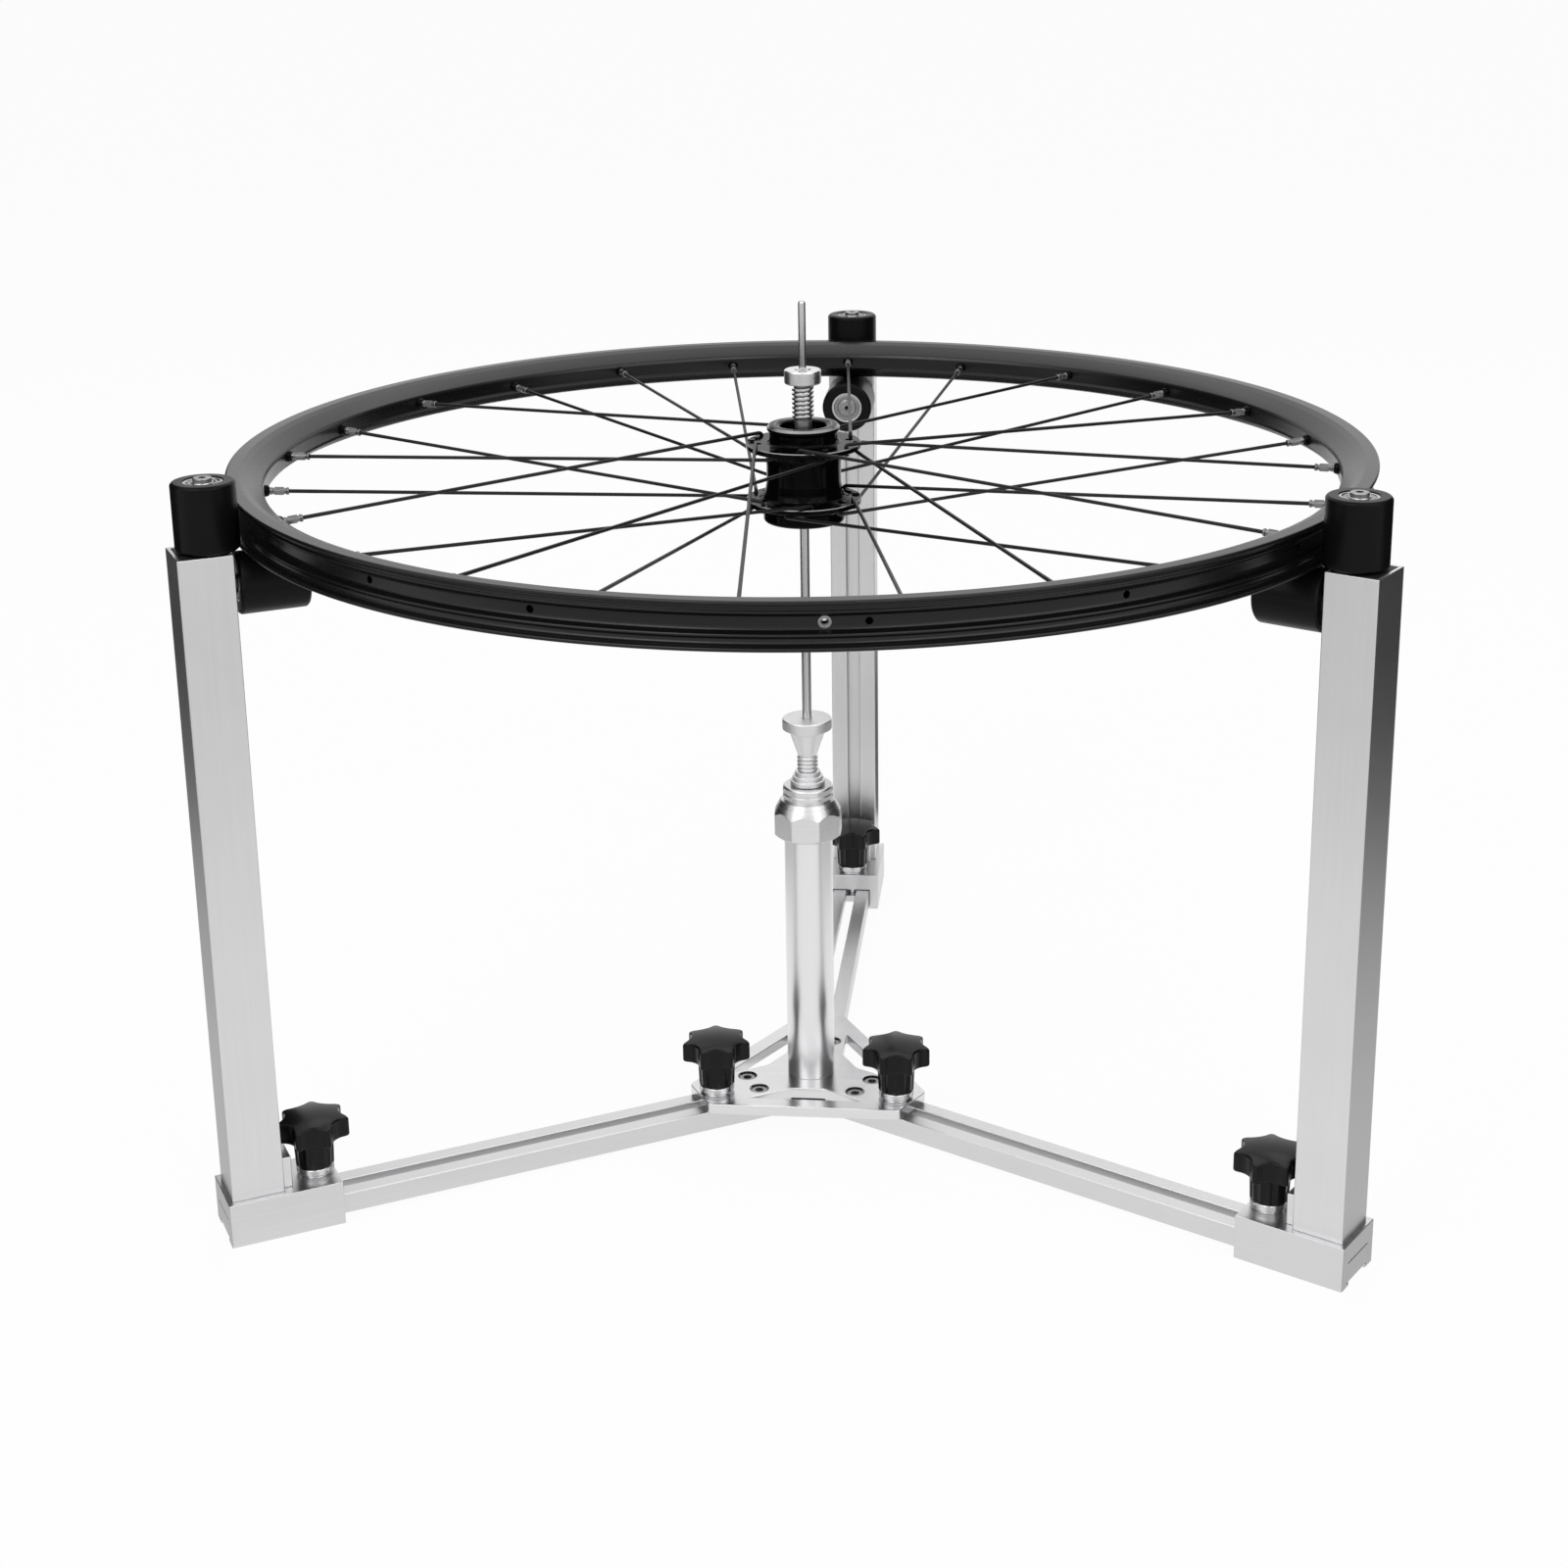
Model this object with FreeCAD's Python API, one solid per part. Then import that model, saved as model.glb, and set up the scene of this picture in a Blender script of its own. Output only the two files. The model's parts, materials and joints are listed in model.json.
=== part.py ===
"""Bicycle wheel truing stand: three slotted arms carry grooved posts with guide rollers, a column with a
collet nut and a centring rod stands in the middle, and a spoked wheel lies on the rollers.

The origin is on the column's axis, on the bench. +Z is up and the back arm points to +Y.
Each arm is drawn along +X and then turned to its place: x is the radius and y is across the arm.
"""
import FreeCAD
import Part
import math
import os

V = FreeCAD.Vector
UP = V(0, 0, 1)
ZERO = V(0, 0, 0)

# ---- driving sizes ----
RIM_R = 298.0           # rim's outer radius
RIM_TALL = 22.5         # rim's width, which stands upright here
POST_TOP = 364.0        # height of the posts
ROLLER_R = 15.5
ROLLER_LONG = 34.0
POST_RADIAL = 27.0      # post section along the arm
POST_ACROSS = 29.0      # post section across the arm
POST_WALL = 2.0
POST_SLOT = 8.0         # groove in the face that looks at the column
POST_WEB = 5.0          # depth of the groove's floor
BLOCK_ACROSS = 36.0
BLOCK_TALL = 24.0
ARM_WIDE = 24.0
ARM_TALL = 11.0
ARM_SLOT = 6.5
STUD_R = 2.9            # clamping studs
KNOB_R = 19.0
PLATE_THICK = 6.0
PLATE_REACH = 69.0      # axis to the end of each lobe of the hub plate
COLUMN_R = 13.3
NUT_LOW = 163.5         # underside of the collet nut
NUT_TALL = 21.0
ROD_R = 2.5
ROD_TIP_R = 2.0
ROD_TOP = 460.0
AXLE_R = 3.0            # roller axles
SPOKES = 24
RIM_FLAT = 7.0          # flat edge of the rim, above and below
RIM_SLOPE = 28.0        # shoulder from the flat edge to the inner wall, in degrees

# ---- clearances ----
RUN = 0.05              # a shaft that turns or slides in its hole, on the radius
SLIDE = 0.3             # flat sides that slide past each other
CONTACT = 0.3           # rim to roller
END_PLAY = 0.1          # roller to its axle's shoulders

# ---- sizes that follow ----
ARMS = {"back": 90.0, "left": 210.0, "right": 330.0}
LIP = 2.0
ARM_LOW = LIP + SLIDE
ARM_TOP = ARM_LOW + ARM_TALL
PLATE_TOP = ARM_TOP + PLATE_THICK
SIDE_AXIS = RIM_R + CONTACT + ROLLER_R
POST_MID = SIDE_AXIS + 4.2
POST_IN = POST_MID - POST_RADIAL / 2
POST_OUT = POST_MID + POST_RADIAL / 2
BLOCK_OUT = POST_OUT + 2.5
KNOB_AT = POST_IN - KNOB_R - 0.5
BLOCK_IN = KNOB_AT - 10.0
ARM_IN = 18.0
SLOT_IN = 47.0
SLOT_OUT = BLOCK_OUT - 9.5
TEE_WIDE = 2 * ARM_SLOT - 0.5
TEE_TALL = ARM_TALL / 2
NUT_SIDE = TEE_WIDE - 0.5
PLATE_KNOB_AT = 58.0
RIM_LOW = POST_TOP - 2.0
RIM_TOP = RIM_LOW + RIM_TALL
RIM_MID = RIM_LOW + RIM_TALL / 2
RIM_AXIS = RIM_LOW - CONTACT - ROLLER_R
INSERT_LOW = RIM_AXIS - 16.0
BEARING_R = 9.5
BEARING_LONG = 6.0
BEARING_DEEP = 0.5
COLLAR_TALL = 5.0
NUT_TOP = NUT_LOW + NUT_TALL


def tube(r, z0, z1, x=0.0, y=0.0):
    return Part.makeCylinder(r, z1 - z0, V(x, y, z0))


def block(x0, x1, half, z0, z1):
    """A box from x0 to x1, half to each side of the arm's line."""
    return Part.makeBox(x1 - x0, 2 * half, z1 - z0, V(x0, -half, z0))


def spun(points, x=0.0):
    """A solid of revolution about an upright axis from radius and height pairs."""
    ring = [V(x + r, 0, z) for r, z in points]
    face = Part.Face(Part.makePolygon(ring + ring[:1]))
    return face.revolve(V(x, 0, 0), UP, 360)


def plate(points, z0, z1, corner):
    """An upright prism on a flat outline, its corners rounded."""
    ring = [V(x, y, z0) for x, y in points]
    solid = Part.Face(Part.makePolygon(ring + ring[:1])).extrude(V(0, 0, z1 - z0))
    tall = [e for e in solid.Edges if abs(e.Vertexes[0].Z - e.Vertexes[-1].Z) > 0.5 * (z1 - z0)]
    return solid.makeFillet(corner, tall)


def turned(shape, angle):
    out = shape.copy()
    out.rotate(ZERO, UP, angle)
    return out


def around(shape, count, start=0.0):
    return [turned(shape, start + 360.0 * k / count) for k in range(count)]


def polar(r, angle, z=0.0):
    a = math.radians(angle)
    return V(r * math.cos(a), r * math.sin(a), z)


def lying(shape, z):
    """Lays an upright shape down: its height becomes the radius along the arm, at height z."""
    out = shape.copy()
    out.rotate(ZERO, V(0, 1, 0), 90)
    out.translate(V(0, 0, z))
    return out


def save(name, *shapes):
    solids = [s for shape in shapes for s in shape.Solids]
    whole = solids[0] if len(solids) == 1 else Part.makeCompound(solids)
    whole.exportStep("parts/" + name + ".step")


def hexagon(across, z0, z1, x=0.0, y=0.0):
    r = across / math.sqrt(3)
    ring = [V(x + r * math.cos(math.radians(60 * k)), y + r * math.sin(math.radians(60 * k)), z0)
            for k in range(7)]
    return Part.Face(Part.makePolygon(ring)).extrude(V(0, 0, z1 - z0))


# ---------------- base: plate, arms, column ----------------
LOBE_HALF = 13.5
BRIDGE_HALF = 16.0
BAND = 9.4
WINDOW_DEEP = 12.8
SCREW_AT = 36.0
SCREW_SIDE = ARM_WIDE / 2 - 3.5
SCREW_R = 2.5
SCREW_HEAD_R = 4.8
SCREW_HEAD = 3.5
COLUMN_BOLT_R = 5.0


def lobe_corner(angle, side):
    a = math.radians(angle)
    x = PLATE_REACH * math.cos(a) - side * LOBE_HALF * math.sin(a)
    y = PLATE_REACH * math.sin(a) + side * LOBE_HALF * math.cos(a)
    return x, y


def hub_plate():
    outline = [lobe_corner(a, side) for a in ARMS.values() for side in (-1, 1)]
    body = plate(outline, ARM_TOP, PLATE_TOP, 2.5)
    edge = PLATE_REACH / 2 + LOBE_HALF * math.sqrt(3) / 2
    far = edge - BAND
    near = far - WINDOW_DEEP
    near_half = near * math.sqrt(3) - 2 * BRIDGE_HALF
    far_half = far * math.sqrt(3) - 2 * BRIDGE_HALF
    window = plate([(near, -near_half), (far, -far_half), (far, far_half), (near, near_half)],
                   ARM_TOP - 1, PLATE_TOP + 1, 1.8)
    cuts = around(window, 3, 30.0)
    cuts.append(tube(COLUMN_BOLT_R + 0.2, ARM_TOP - 1, PLATE_TOP + 1))
    for a in ARMS.values():
        for side in (-1, 1):
            y = side * SCREW_SIDE
            hole = tube(SCREW_R + 0.25, ARM_TOP - 1, PLATE_TOP + 1, SCREW_AT, y)
            seat = tube(SCREW_HEAD_R + 0.7, PLATE_TOP - SCREW_HEAD, PLATE_TOP + 1, SCREW_AT, y)
            cuts.append(turned(hole, a))
            cuts.append(turned(seat, a))
    for name in ("left", "right"):
        hole = tube(STUD_R + 0.4, ARM_TOP - 1, PLATE_TOP + 1, PLATE_KNOB_AT)
        cuts.append(turned(hole, ARMS[name]))
    return body.cut(cuts)


def arm():
    body = block(ARM_IN, BLOCK_OUT, ARM_WIDE / 2, ARM_LOW, ARM_TOP)
    cuts = []
    for width, top in ((ARM_SLOT, ARM_TOP + 1), (TEE_WIDE, ARM_LOW + TEE_TALL)):
        r = width / 2
        cuts.append(block(SLOT_IN, SLOT_OUT, r, ARM_LOW - 1, top))
    for side in (-1, 1):
        cuts.append(tube(SCREW_R, ARM_LOW + 1.5, ARM_TOP + 1, SCREW_AT, side * SCREW_SIDE))
    return body.cut(cuts)


def arm_screws():
    out = []
    low = ARM_LOW + 2.0
    seat = PLATE_TOP - SCREW_HEAD
    top = PLATE_TOP - 0.3
    for a in ARMS.values():
        for side in (-1, 1):
            y = side * SCREW_SIDE
            screw = tube(SCREW_R, low, seat, SCREW_AT, y).fuse(tube(SCREW_HEAD_R, seat, top, SCREW_AT, y))
            screw = screw.cut(hexagon(4.0, top - 2.2, top + 1, SCREW_AT, y))
            out.append(turned(screw, a))
    return out


def tee_nut(at):
    low = ARM_LOW + 0.7
    high = ARM_LOW + TEE_TALL - SLIDE
    half = NUT_SIDE / 2
    return block(at - half, at + half, half, low, high).cut(tube(STUD_R + RUN, low - 1, high + 1, at))


BORE_R = 8.0
THREAD_R = 11.8
FLOOR = PLATE_TOP + 22.7
COLUMN_END = NUT_LOW + 17.5


def column_tube():
    shoulder = NUT_LOW - SLIDE
    body = spun([(COLUMN_BOLT_R, PLATE_TOP), (COLUMN_R - 0.5, PLATE_TOP), (COLUMN_R, PLATE_TOP + 0.5),
                 (COLUMN_R, shoulder - 0.6), (COLUMN_R - 0.6, shoulder), (THREAD_R, shoulder),
                 (THREAD_R, COLUMN_END), (BORE_R, COLUMN_END), (BORE_R, FLOOR), (COLUMN_BOLT_R, FLOOR)])
    return body


BOLT_HEAD_R = 9.0
BOLT_HEAD = 8.0


def column_bolt():
    head = tube(BOLT_HEAD_R, ARM_TOP - BOLT_HEAD, ARM_TOP)
    return head.fuse(tube(COLUMN_BOLT_R, ARM_TOP - 0.5, FLOOR - 3.0))


def centre_pad():
    return spun([(0, 0), (11.2, 0), (12, 0.8), (12, ARM_TOP - BOLT_HEAD), (0, ARM_TOP - BOLT_HEAD)])


# ---------------- collet nut, spindle, rod ----------------
SPINDLE_R = BORE_R - RUN
COLLAR_R = 13.7
COLLAR_TOP = NUT_TOP + 8.2


def collet_nut():
    corner = 19.5
    ring = [polar(corner, 22.5 + 45 * k, NUT_LOW) for k in range(9)]
    prism = Part.Face(Part.makePolygon(ring)).extrude(V(0, 0, NUT_TALL))
    bound = spun([(0, NUT_LOW), (corner - 1.4, NUT_LOW), (corner, NUT_LOW + 1.4), (corner, NUT_TOP - 8.5),
                  (15.0, NUT_TOP), (0, NUT_TOP)])
    body = prism.common(bound)
    collar = spun([(0, NUT_TOP - 1), (13.0, NUT_TOP - 1), (13.0, NUT_TOP + 0.8), (COLLAR_R, NUT_TOP + 1.4),
                   (COLLAR_R, COLLAR_TOP - 0.7), (COLLAR_R - 0.7, COLLAR_TOP), (0, COLLAR_TOP)])
    inside = tube(THREAD_R + RUN, NUT_LOW - 1, COLUMN_END + SLIDE)
    throat = tube(BORE_R + 0.3, COLUMN_END, COLLAR_TOP + 1)
    return body.fuse(collar).cut([inside, throat])


SPINDLE_LOW = 95.0
STEP = COLLAR_TOP + SLIDE


def support_spindle():
    ring = [(ROD_R + RUN, SPINDLE_LOW), (SPINDLE_R - 1, SPINDLE_LOW), (SPINDLE_R, SPINDLE_LOW + 1),
            (SPINDLE_R, STEP), (9.6, STEP), (9.6, STEP + 2.4), (8.4, STEP + 2.6), (8.4, STEP + 4.8),
            (7.0, STEP + 5.0), (7.0, STEP + 7.6)]
    z = STEP + 7.8
    for _ in range(4):
        ring += [(4.8, z), (5.7, z + 0.5), (5.7, z + 1.5), (4.8, z + 2.0)]
        z += 2.2
    cone = z + 0.2
    disc = cone + 15.3
    top = disc + 6.0
    ring += [(5.2, cone), (9.6, disc - 2.0), (10.6, disc - 1.6), (10.6, disc - 0.6), (13.5, disc),
             (13.5, top - 0.6), (12.9, top), (ROD_R + RUN, top)]
    return spun(ring)


ROD_LOW = 110.0
AXLE_TUBE_LOW = RIM_LOW - 18.0
ROD_STEP = AXLE_TUBE_LOW + 8.0


def centre_rod():
    shaft = spun([(0, ROD_LOW), (ROD_R, ROD_LOW), (ROD_R, ROD_STEP), (ROD_TIP_R, ROD_STEP + 0.5),
                  (ROD_TIP_R, ROD_TOP - 1.2), (ROD_TIP_R - 0.5, ROD_TOP - 0.4), (ROD_TIP_R - 1.2, ROD_TOP),
                  (0, ROD_TOP)])
    return shaft


# ---------------- wheel ----------------
HUB_LOW = RIM_LOW - 19.5
FLANGE_LOW = RIM_LOW - 10.0
FLANGE_HIGH = RIM_LOW + 20.0
FLANGE_THICK = 3.0
FLANGE_R = 30.5
HUB_TOP = RIM_LOW + 32.7
HOLE_CIRCLE = 27.5
HUB_AXLE_R = 8.5
HUB_BEARING_R = 11.0
HUB_BEARING_LONG = 7.0
MOUTH_R = 12.2
PLUG_GUIDE_R = 6.0
PLUG_LOW = RIM_LOW + 4.0
SPOKE_R = 1.0
SPOKE_HOLE_R = 1.3
CROSSING = 60.0
INNER_WALL = RIM_R - 18.0
WALL = 2.0


def hub_shell():
    low = HUB_LOW + 2.5
    high = HUB_TOP - 6.7
    mid0 = low + HUB_BEARING_LONG
    mid1 = high - HUB_BEARING_LONG
    body = spun([
        (MOUTH_R, HUB_LOW), (20.9, HUB_LOW), (21.7, HUB_LOW + 0.9), (21.7, HUB_LOW + 6.5),
        (20.6, HUB_LOW + 7.6), (19.6, HUB_LOW + 8.2), (19.6, FLANGE_LOW), (FLANGE_R, FLANGE_LOW),
        (FLANGE_R, FLANGE_LOW + FLANGE_THICK), (22.5, FLANGE_LOW + FLANGE_THICK + 0.6),
        (20.4, FLANGE_LOW + 7.0), (19.7, FLANGE_LOW + 13.0), (19.9, FLANGE_HIGH - 6.0),
        (21.0, FLANGE_HIGH - 1.0), (FLANGE_R, FLANGE_HIGH), (FLANGE_R, FLANGE_HIGH + FLANGE_THICK),
        (17.8, FLANGE_HIGH + FLANGE_THICK), (17.8, HUB_TOP - 3.6), (19.3, HUB_TOP - 3.0),
        (19.3, HUB_TOP - 0.5), (18.8, HUB_TOP), (MOUTH_R, HUB_TOP), (MOUTH_R, high),
        (HUB_BEARING_R, high), (HUB_BEARING_R, mid1), (HUB_AXLE_R + 0.7, mid1),
        (HUB_AXLE_R + 0.7, mid0), (HUB_BEARING_R, mid0), (HUB_BEARING_R, low), (MOUTH_R, low)])
    cuts = []
    for z, start in ((FLANGE_LOW, 15.0), (FLANGE_HIGH, 0.0)):
        step = 720.0 / SPOKES
        hole = tube(SPOKE_HOLE_R, z - 1, z + FLANGE_THICK + 1, HOLE_CIRCLE)
        gap = tube(2.3, z - 1, z + FLANGE_THICK + 1, 24.6)
        cuts += around(hole, SPOKES // 2, start)
        cuts += around(gap, SPOKES // 4, start + step / 2)
    return body.cut(cuts)


def hub_bearings():
    out = []
    for z in (HUB_LOW + 2.5, HUB_TOP - 6.7 - HUB_BEARING_LONG):
        ring = tube(HUB_BEARING_R, z, z + HUB_BEARING_LONG)
        out.append(ring.cut(tube(HUB_AXLE_R + RUN, z - 1, z + HUB_BEARING_LONG + 1)))
    return out


def hub_axle():
    top = HUB_TOP - 7.2
    return spun([(ROD_R + 0.5, AXLE_TUBE_LOW), (HUB_AXLE_R - 0.5, AXLE_TUBE_LOW),
                 (HUB_AXLE_R, AXLE_TUBE_LOW + 0.5), (HUB_AXLE_R, top - 0.5), (HUB_AXLE_R - 0.5, top),
                 (PLUG_GUIDE_R + RUN, top), (PLUG_GUIDE_R + RUN, PLUG_LOW), (ROD_R + 0.5, PLUG_LOW)])


def hub_plug():
    guide = HUB_TOP - 8.8
    thread = HUB_TOP + 3.3
    head = HUB_TOP + 21.6
    top = head + 7.5
    ring = [(ROD_R + 0.3, PLUG_LOW), (PLUG_GUIDE_R - 0.4, PLUG_LOW), (PLUG_GUIDE_R, PLUG_LOW + 0.4),
            (PLUG_GUIDE_R, guide), (4.3, guide + 0.6), (4.3, thread)]
    pitch = (head - thread) / 10
    for k in range(10):
        z = thread + k * pitch
        ring += [(5.2, z + 0.05 * pitch), (6.0, z + 0.4 * pitch), (6.0, z + 0.6 * pitch), (5.2, z + 0.95 * pitch)]
    ring += [(5.2, head), (9.3, head), (9.8, head + 0.5), (9.8, top - 0.6), (9.2, top), (4.4, top),
             (ROD_TIP_R + RUN, top - 2.2), (ROD_TIP_R + RUN, head - 4.0), (ROD_R + 0.3, head - 4.4)]
    return spun(ring)


def rim_section():
    """Outline and cavity of the rim's upper half as radius and height over its middle, then mirrored."""
    half = RIM_TALL / 2
    a = INNER_WALL - 1.0
    slope = math.tan(math.radians(RIM_SLOPE))
    flat = RIM_R - RIM_FLAT
    skin = WALL / math.cos(math.radians(RIM_SLOPE))
    bend = flat + (skin - WALL) / slope
    outer = [(a, half - (flat - a) * slope), (flat, half), (RIM_R, half), (RIM_R, half - 1.9),
             (RIM_R - 4.4, half - 2.4), (RIM_R - 5.2, half - 6.6), (RIM_R - 7.4, half - 8.2)]
    b = a + WALL
    inner = [(b, half - skin - (flat - b) * slope), (bend, half - WALL), (RIM_R - 6.6, half - WALL),
             (RIM_R - 7.2, half - 6.4), (RIM_R - 9.4, half - 8.2)]
    return [[(r, RIM_MID + h) for r, h in side] + [(r, RIM_MID - h) for r, h in reversed(side)]
            for side in (outer, inner)]


def spoke_lines():
    """Start above or below a flange and end in the rim's inner wall, with the flange and the side."""
    lines = []
    half = SPOKES // 2
    step = 360.0 / half
    for z, start, drop, lead in ((FLANGE_HIGH, 0.0, 0.6, 1), (FLANGE_LOW, step / 2, -0.6, 0)):
        mid = z + FLANGE_THICK / 2
        outward = 1 if drop > 0 else -1
        for k in range(half):
            way = 1 if k % 2 == lead else -1
            hub_angle = start + step * k
            off = outward * way * (FLANGE_THICK / 2 + SPOKE_R + 0.7)
            a = polar(HOLE_CIRCLE, hub_angle, mid + off)
            b = polar(INNER_WALL, hub_angle + way * CROSSING, RIM_MID + drop)
            lines.append((a, b, mid, off))
    return lines


def along(r, start, unit, t0, t1):
    return Part.makeCylinder(r, t1 - t0, start + unit * t0, unit)


def wheel_parts():
    spokes = []
    nipples = []
    holes = []
    for a, b, mid, off in spoke_lines():
        unit = (b - a).normalize()
        far = (b - a).Length
        sign = 1 if off > 0 else -1
        low = mid - sign * (FLANGE_THICK / 2 + 1.5)
        foot = V(a.x, a.y, low)
        stub = Part.makeCylinder(SPOKE_R, abs(a.z - low), foot, V(0, 0, sign))
        cap = Part.makeCylinder(1.9, 0.8, foot, V(0, 0, sign))
        elbow = Part.makeSphere(SPOKE_R, a)
        spokes.append(along(SPOKE_R, a, unit, 0, far + 2.0).fuse([stub, cap, elbow]))
        barrel = along(2.1, b, unit, -13.0, 1.7).fuse(along(2.8, b, unit, 1.7, 3.6))
        nipples.append(barrel.cut(along(SPOKE_R, b, unit, -14.0, 2.0)))
        holes.append(along(2.35, b, unit, -5.0, 4.5))
    outer, inner = rim_section()
    for angle, r in ((277.5, 2.6), (281.2, 1.7), (234.0, 1.8), (252.0, 1.8), (304.5, 1.8), (327.5, 1.8)):
        start = INNER_WALL - 4.0 if r > 2.0 else RIM_R - 10.5
        holes.append(Part.makeCylinder(r, 30.0, polar(start, angle, RIM_MID), polar(1.0, angle)))
    rim = spun(outer).cut(spun(inner)).cut(holes)
    return rim, spokes, nipples


# ---------------- posts, blocks and rollers ----------------
def slide_block():
    corners = [(BLOCK_IN, -BLOCK_ACROSS / 2), (BLOCK_OUT, -BLOCK_ACROSS / 2),
               (BLOCK_OUT, BLOCK_ACROSS / 2), (BLOCK_IN, BLOCK_ACROSS / 2)]
    body = plate(corners, 0.0, BLOCK_TALL, 1.5)
    half = ARM_WIDE / 2 + SLIDE
    cuts = [block(BLOCK_IN - 1, BLOCK_OUT + 1, half, LIP, ARM_TOP + SLIDE),
            block(BLOCK_IN - 1, BLOCK_OUT + 1, half - 2.5, -1, LIP + 1),
            tube(STUD_R + 0.4, ARM_TOP - 1, BLOCK_TALL + 1, KNOB_AT)]
    return body.cut(cuts)


def post():
    body = block(POST_IN, POST_OUT, POST_ACROSS / 2, BLOCK_TALL, POST_TOP)
    half = POST_ACROSS / 2 - POST_WALL
    near = POST_IN + POST_WALL
    web = POST_IN + POST_WEB
    far = POST_OUT - POST_WALL
    cuts = [block(POST_IN - 1, near + 1, POST_SLOT / 2, BLOCK_TALL - 1, POST_TOP + 1),
            block(near, web, half, BLOCK_TALL - 1, POST_TOP + 1),
            block(web + POST_WALL, far, half, BLOCK_TALL - 1, POST_TOP + 1),
            block(near, far, half, INSERT_LOW, POST_TOP + 1)]
    return body.cut(cuts)


AXLE_DEEP = POST_IN + 17.0
AXLE_FOOT = POST_TOP - 12.0


def post_insert():
    body = block(POST_IN + POST_WALL, POST_OUT - POST_WALL, POST_ACROSS / 2 - POST_WALL,
                 INSERT_LOW, POST_TOP)
    upright = tube(AXLE_R, AXLE_FOOT, POST_TOP + 1, SIDE_AXIS)
    flat = lying(tube(AXLE_R, POST_IN, AXLE_DEEP), RIM_AXIS)
    return body.cut([upright, flat])


def foot_bracket():
    low = BLOCK_TALL
    wall = block(POST_IN - 5.0, POST_IN, 11.0, low, low + 17.0)
    key = block(POST_IN - 1.0, POST_IN + POST_WALL - 0.1, POST_SLOT / 2 - 0.1, low, low + 17.0)
    return wall.fuse(key)


SIDE_LOW = POST_TOP + 0.5
RIM_ROLLER_OUT = POST_IN - 2.3
RIM_ROLLER_IN = RIM_ROLLER_OUT - ROLLER_LONG


def axle(base, near, far, deep):
    """An axle screw, upright: thread down to deep, collar on base, head past the far end."""
    head = far - BEARING_DEEP + END_PLAY
    collar = near + BEARING_DEEP - END_PLAY
    body = spun([(0, deep), (AXLE_R, deep), (AXLE_R, base), (5.0, base), (5.0, collar), (AXLE_R, collar),
                 (AXLE_R, head), (4.6, head), (4.6, head + 1.4), (4.1, head + 1.9), (0, head + 1.9)])
    return body.cut(hexagon(4.0, head - 1.0, head + 3.0))


def sleeve(near, far):
    seat = BEARING_LONG + BEARING_DEEP
    c = 1.2
    return spun([(BEARING_R, near), (ROLLER_R - c, near), (ROLLER_R, near + c), (ROLLER_R, far - c),
                 (ROLLER_R - c, far), (BEARING_R, far), (BEARING_R, far - seat), (8.5, far - seat),
                 (8.5, near + seat), (BEARING_R, near + seat)])


def bearings(near, far):
    out = []
    for z in (near + BEARING_DEEP, far - BEARING_DEEP - BEARING_LONG):
        ring = tube(BEARING_R, z, z + BEARING_LONG)
        out.append(ring.cut(tube(AXLE_R + RUN, z - 1, z + BEARING_LONG + 1)))
    return Part.makeCompound(out)


def to_side(shape):
    out = shape.copy()
    out.translate(V(SIDE_AXIS, 0, 0))
    return out


def to_rim(shape):
    """From upright, with heights counted outwards along the arm but reversed, to lying on the post."""
    out = shape.copy()
    out.rotate(ZERO, V(0, 1, 0), -90)
    out.translate(V(0, 0, RIM_AXIS))
    return out


# ---------------- knobs ----------------
NECK = 15.5
HEAD = 10.1
LOBES = 7
SCALLOP_R = 9.7
SCALLOP_AT = KNOB_R + 5.2


def knob_head(base):
    """Lobed knob on its neck, the foot of the neck at height base."""
    h = base + NECK
    t = h + HEAD
    body = spun([(0, base), (10.6, base), (11.0, h - 0.5), (11.8, h), (KNOB_R - 0.8, h), (KNOB_R, h + 0.8),
                 (KNOB_R, t - 1.2), (KNOB_R - 1.2, t), (KNOB_R - 6.0, t + 1.5), (7.0, t + 2.4), (0, t + 2.8)])
    scallop = tube(SCALLOP_R, h - 1, t + 4, SCALLOP_AT)
    return body.cut(around(scallop, LOBES)).cut(tube(STUD_R, base - 1, base + 16.0))


def stud(base, low):
    """Steel stud with its collar standing on base."""
    top = base + COLLAR_TALL
    return spun([(0, low), (STUD_R, low), (STUD_R, base), (9.0, base), (9.0, base + 1.3), (9.7, base + 1.6),
                 (9.7, top - 0.4), (9.3, top), (STUD_R, top), (STUD_R, top + 16.0), (0, top + 16.0)])


def moved(shape, x):
    out = shape.copy()
    out.translate(V(x, 0, 0))
    return out


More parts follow.
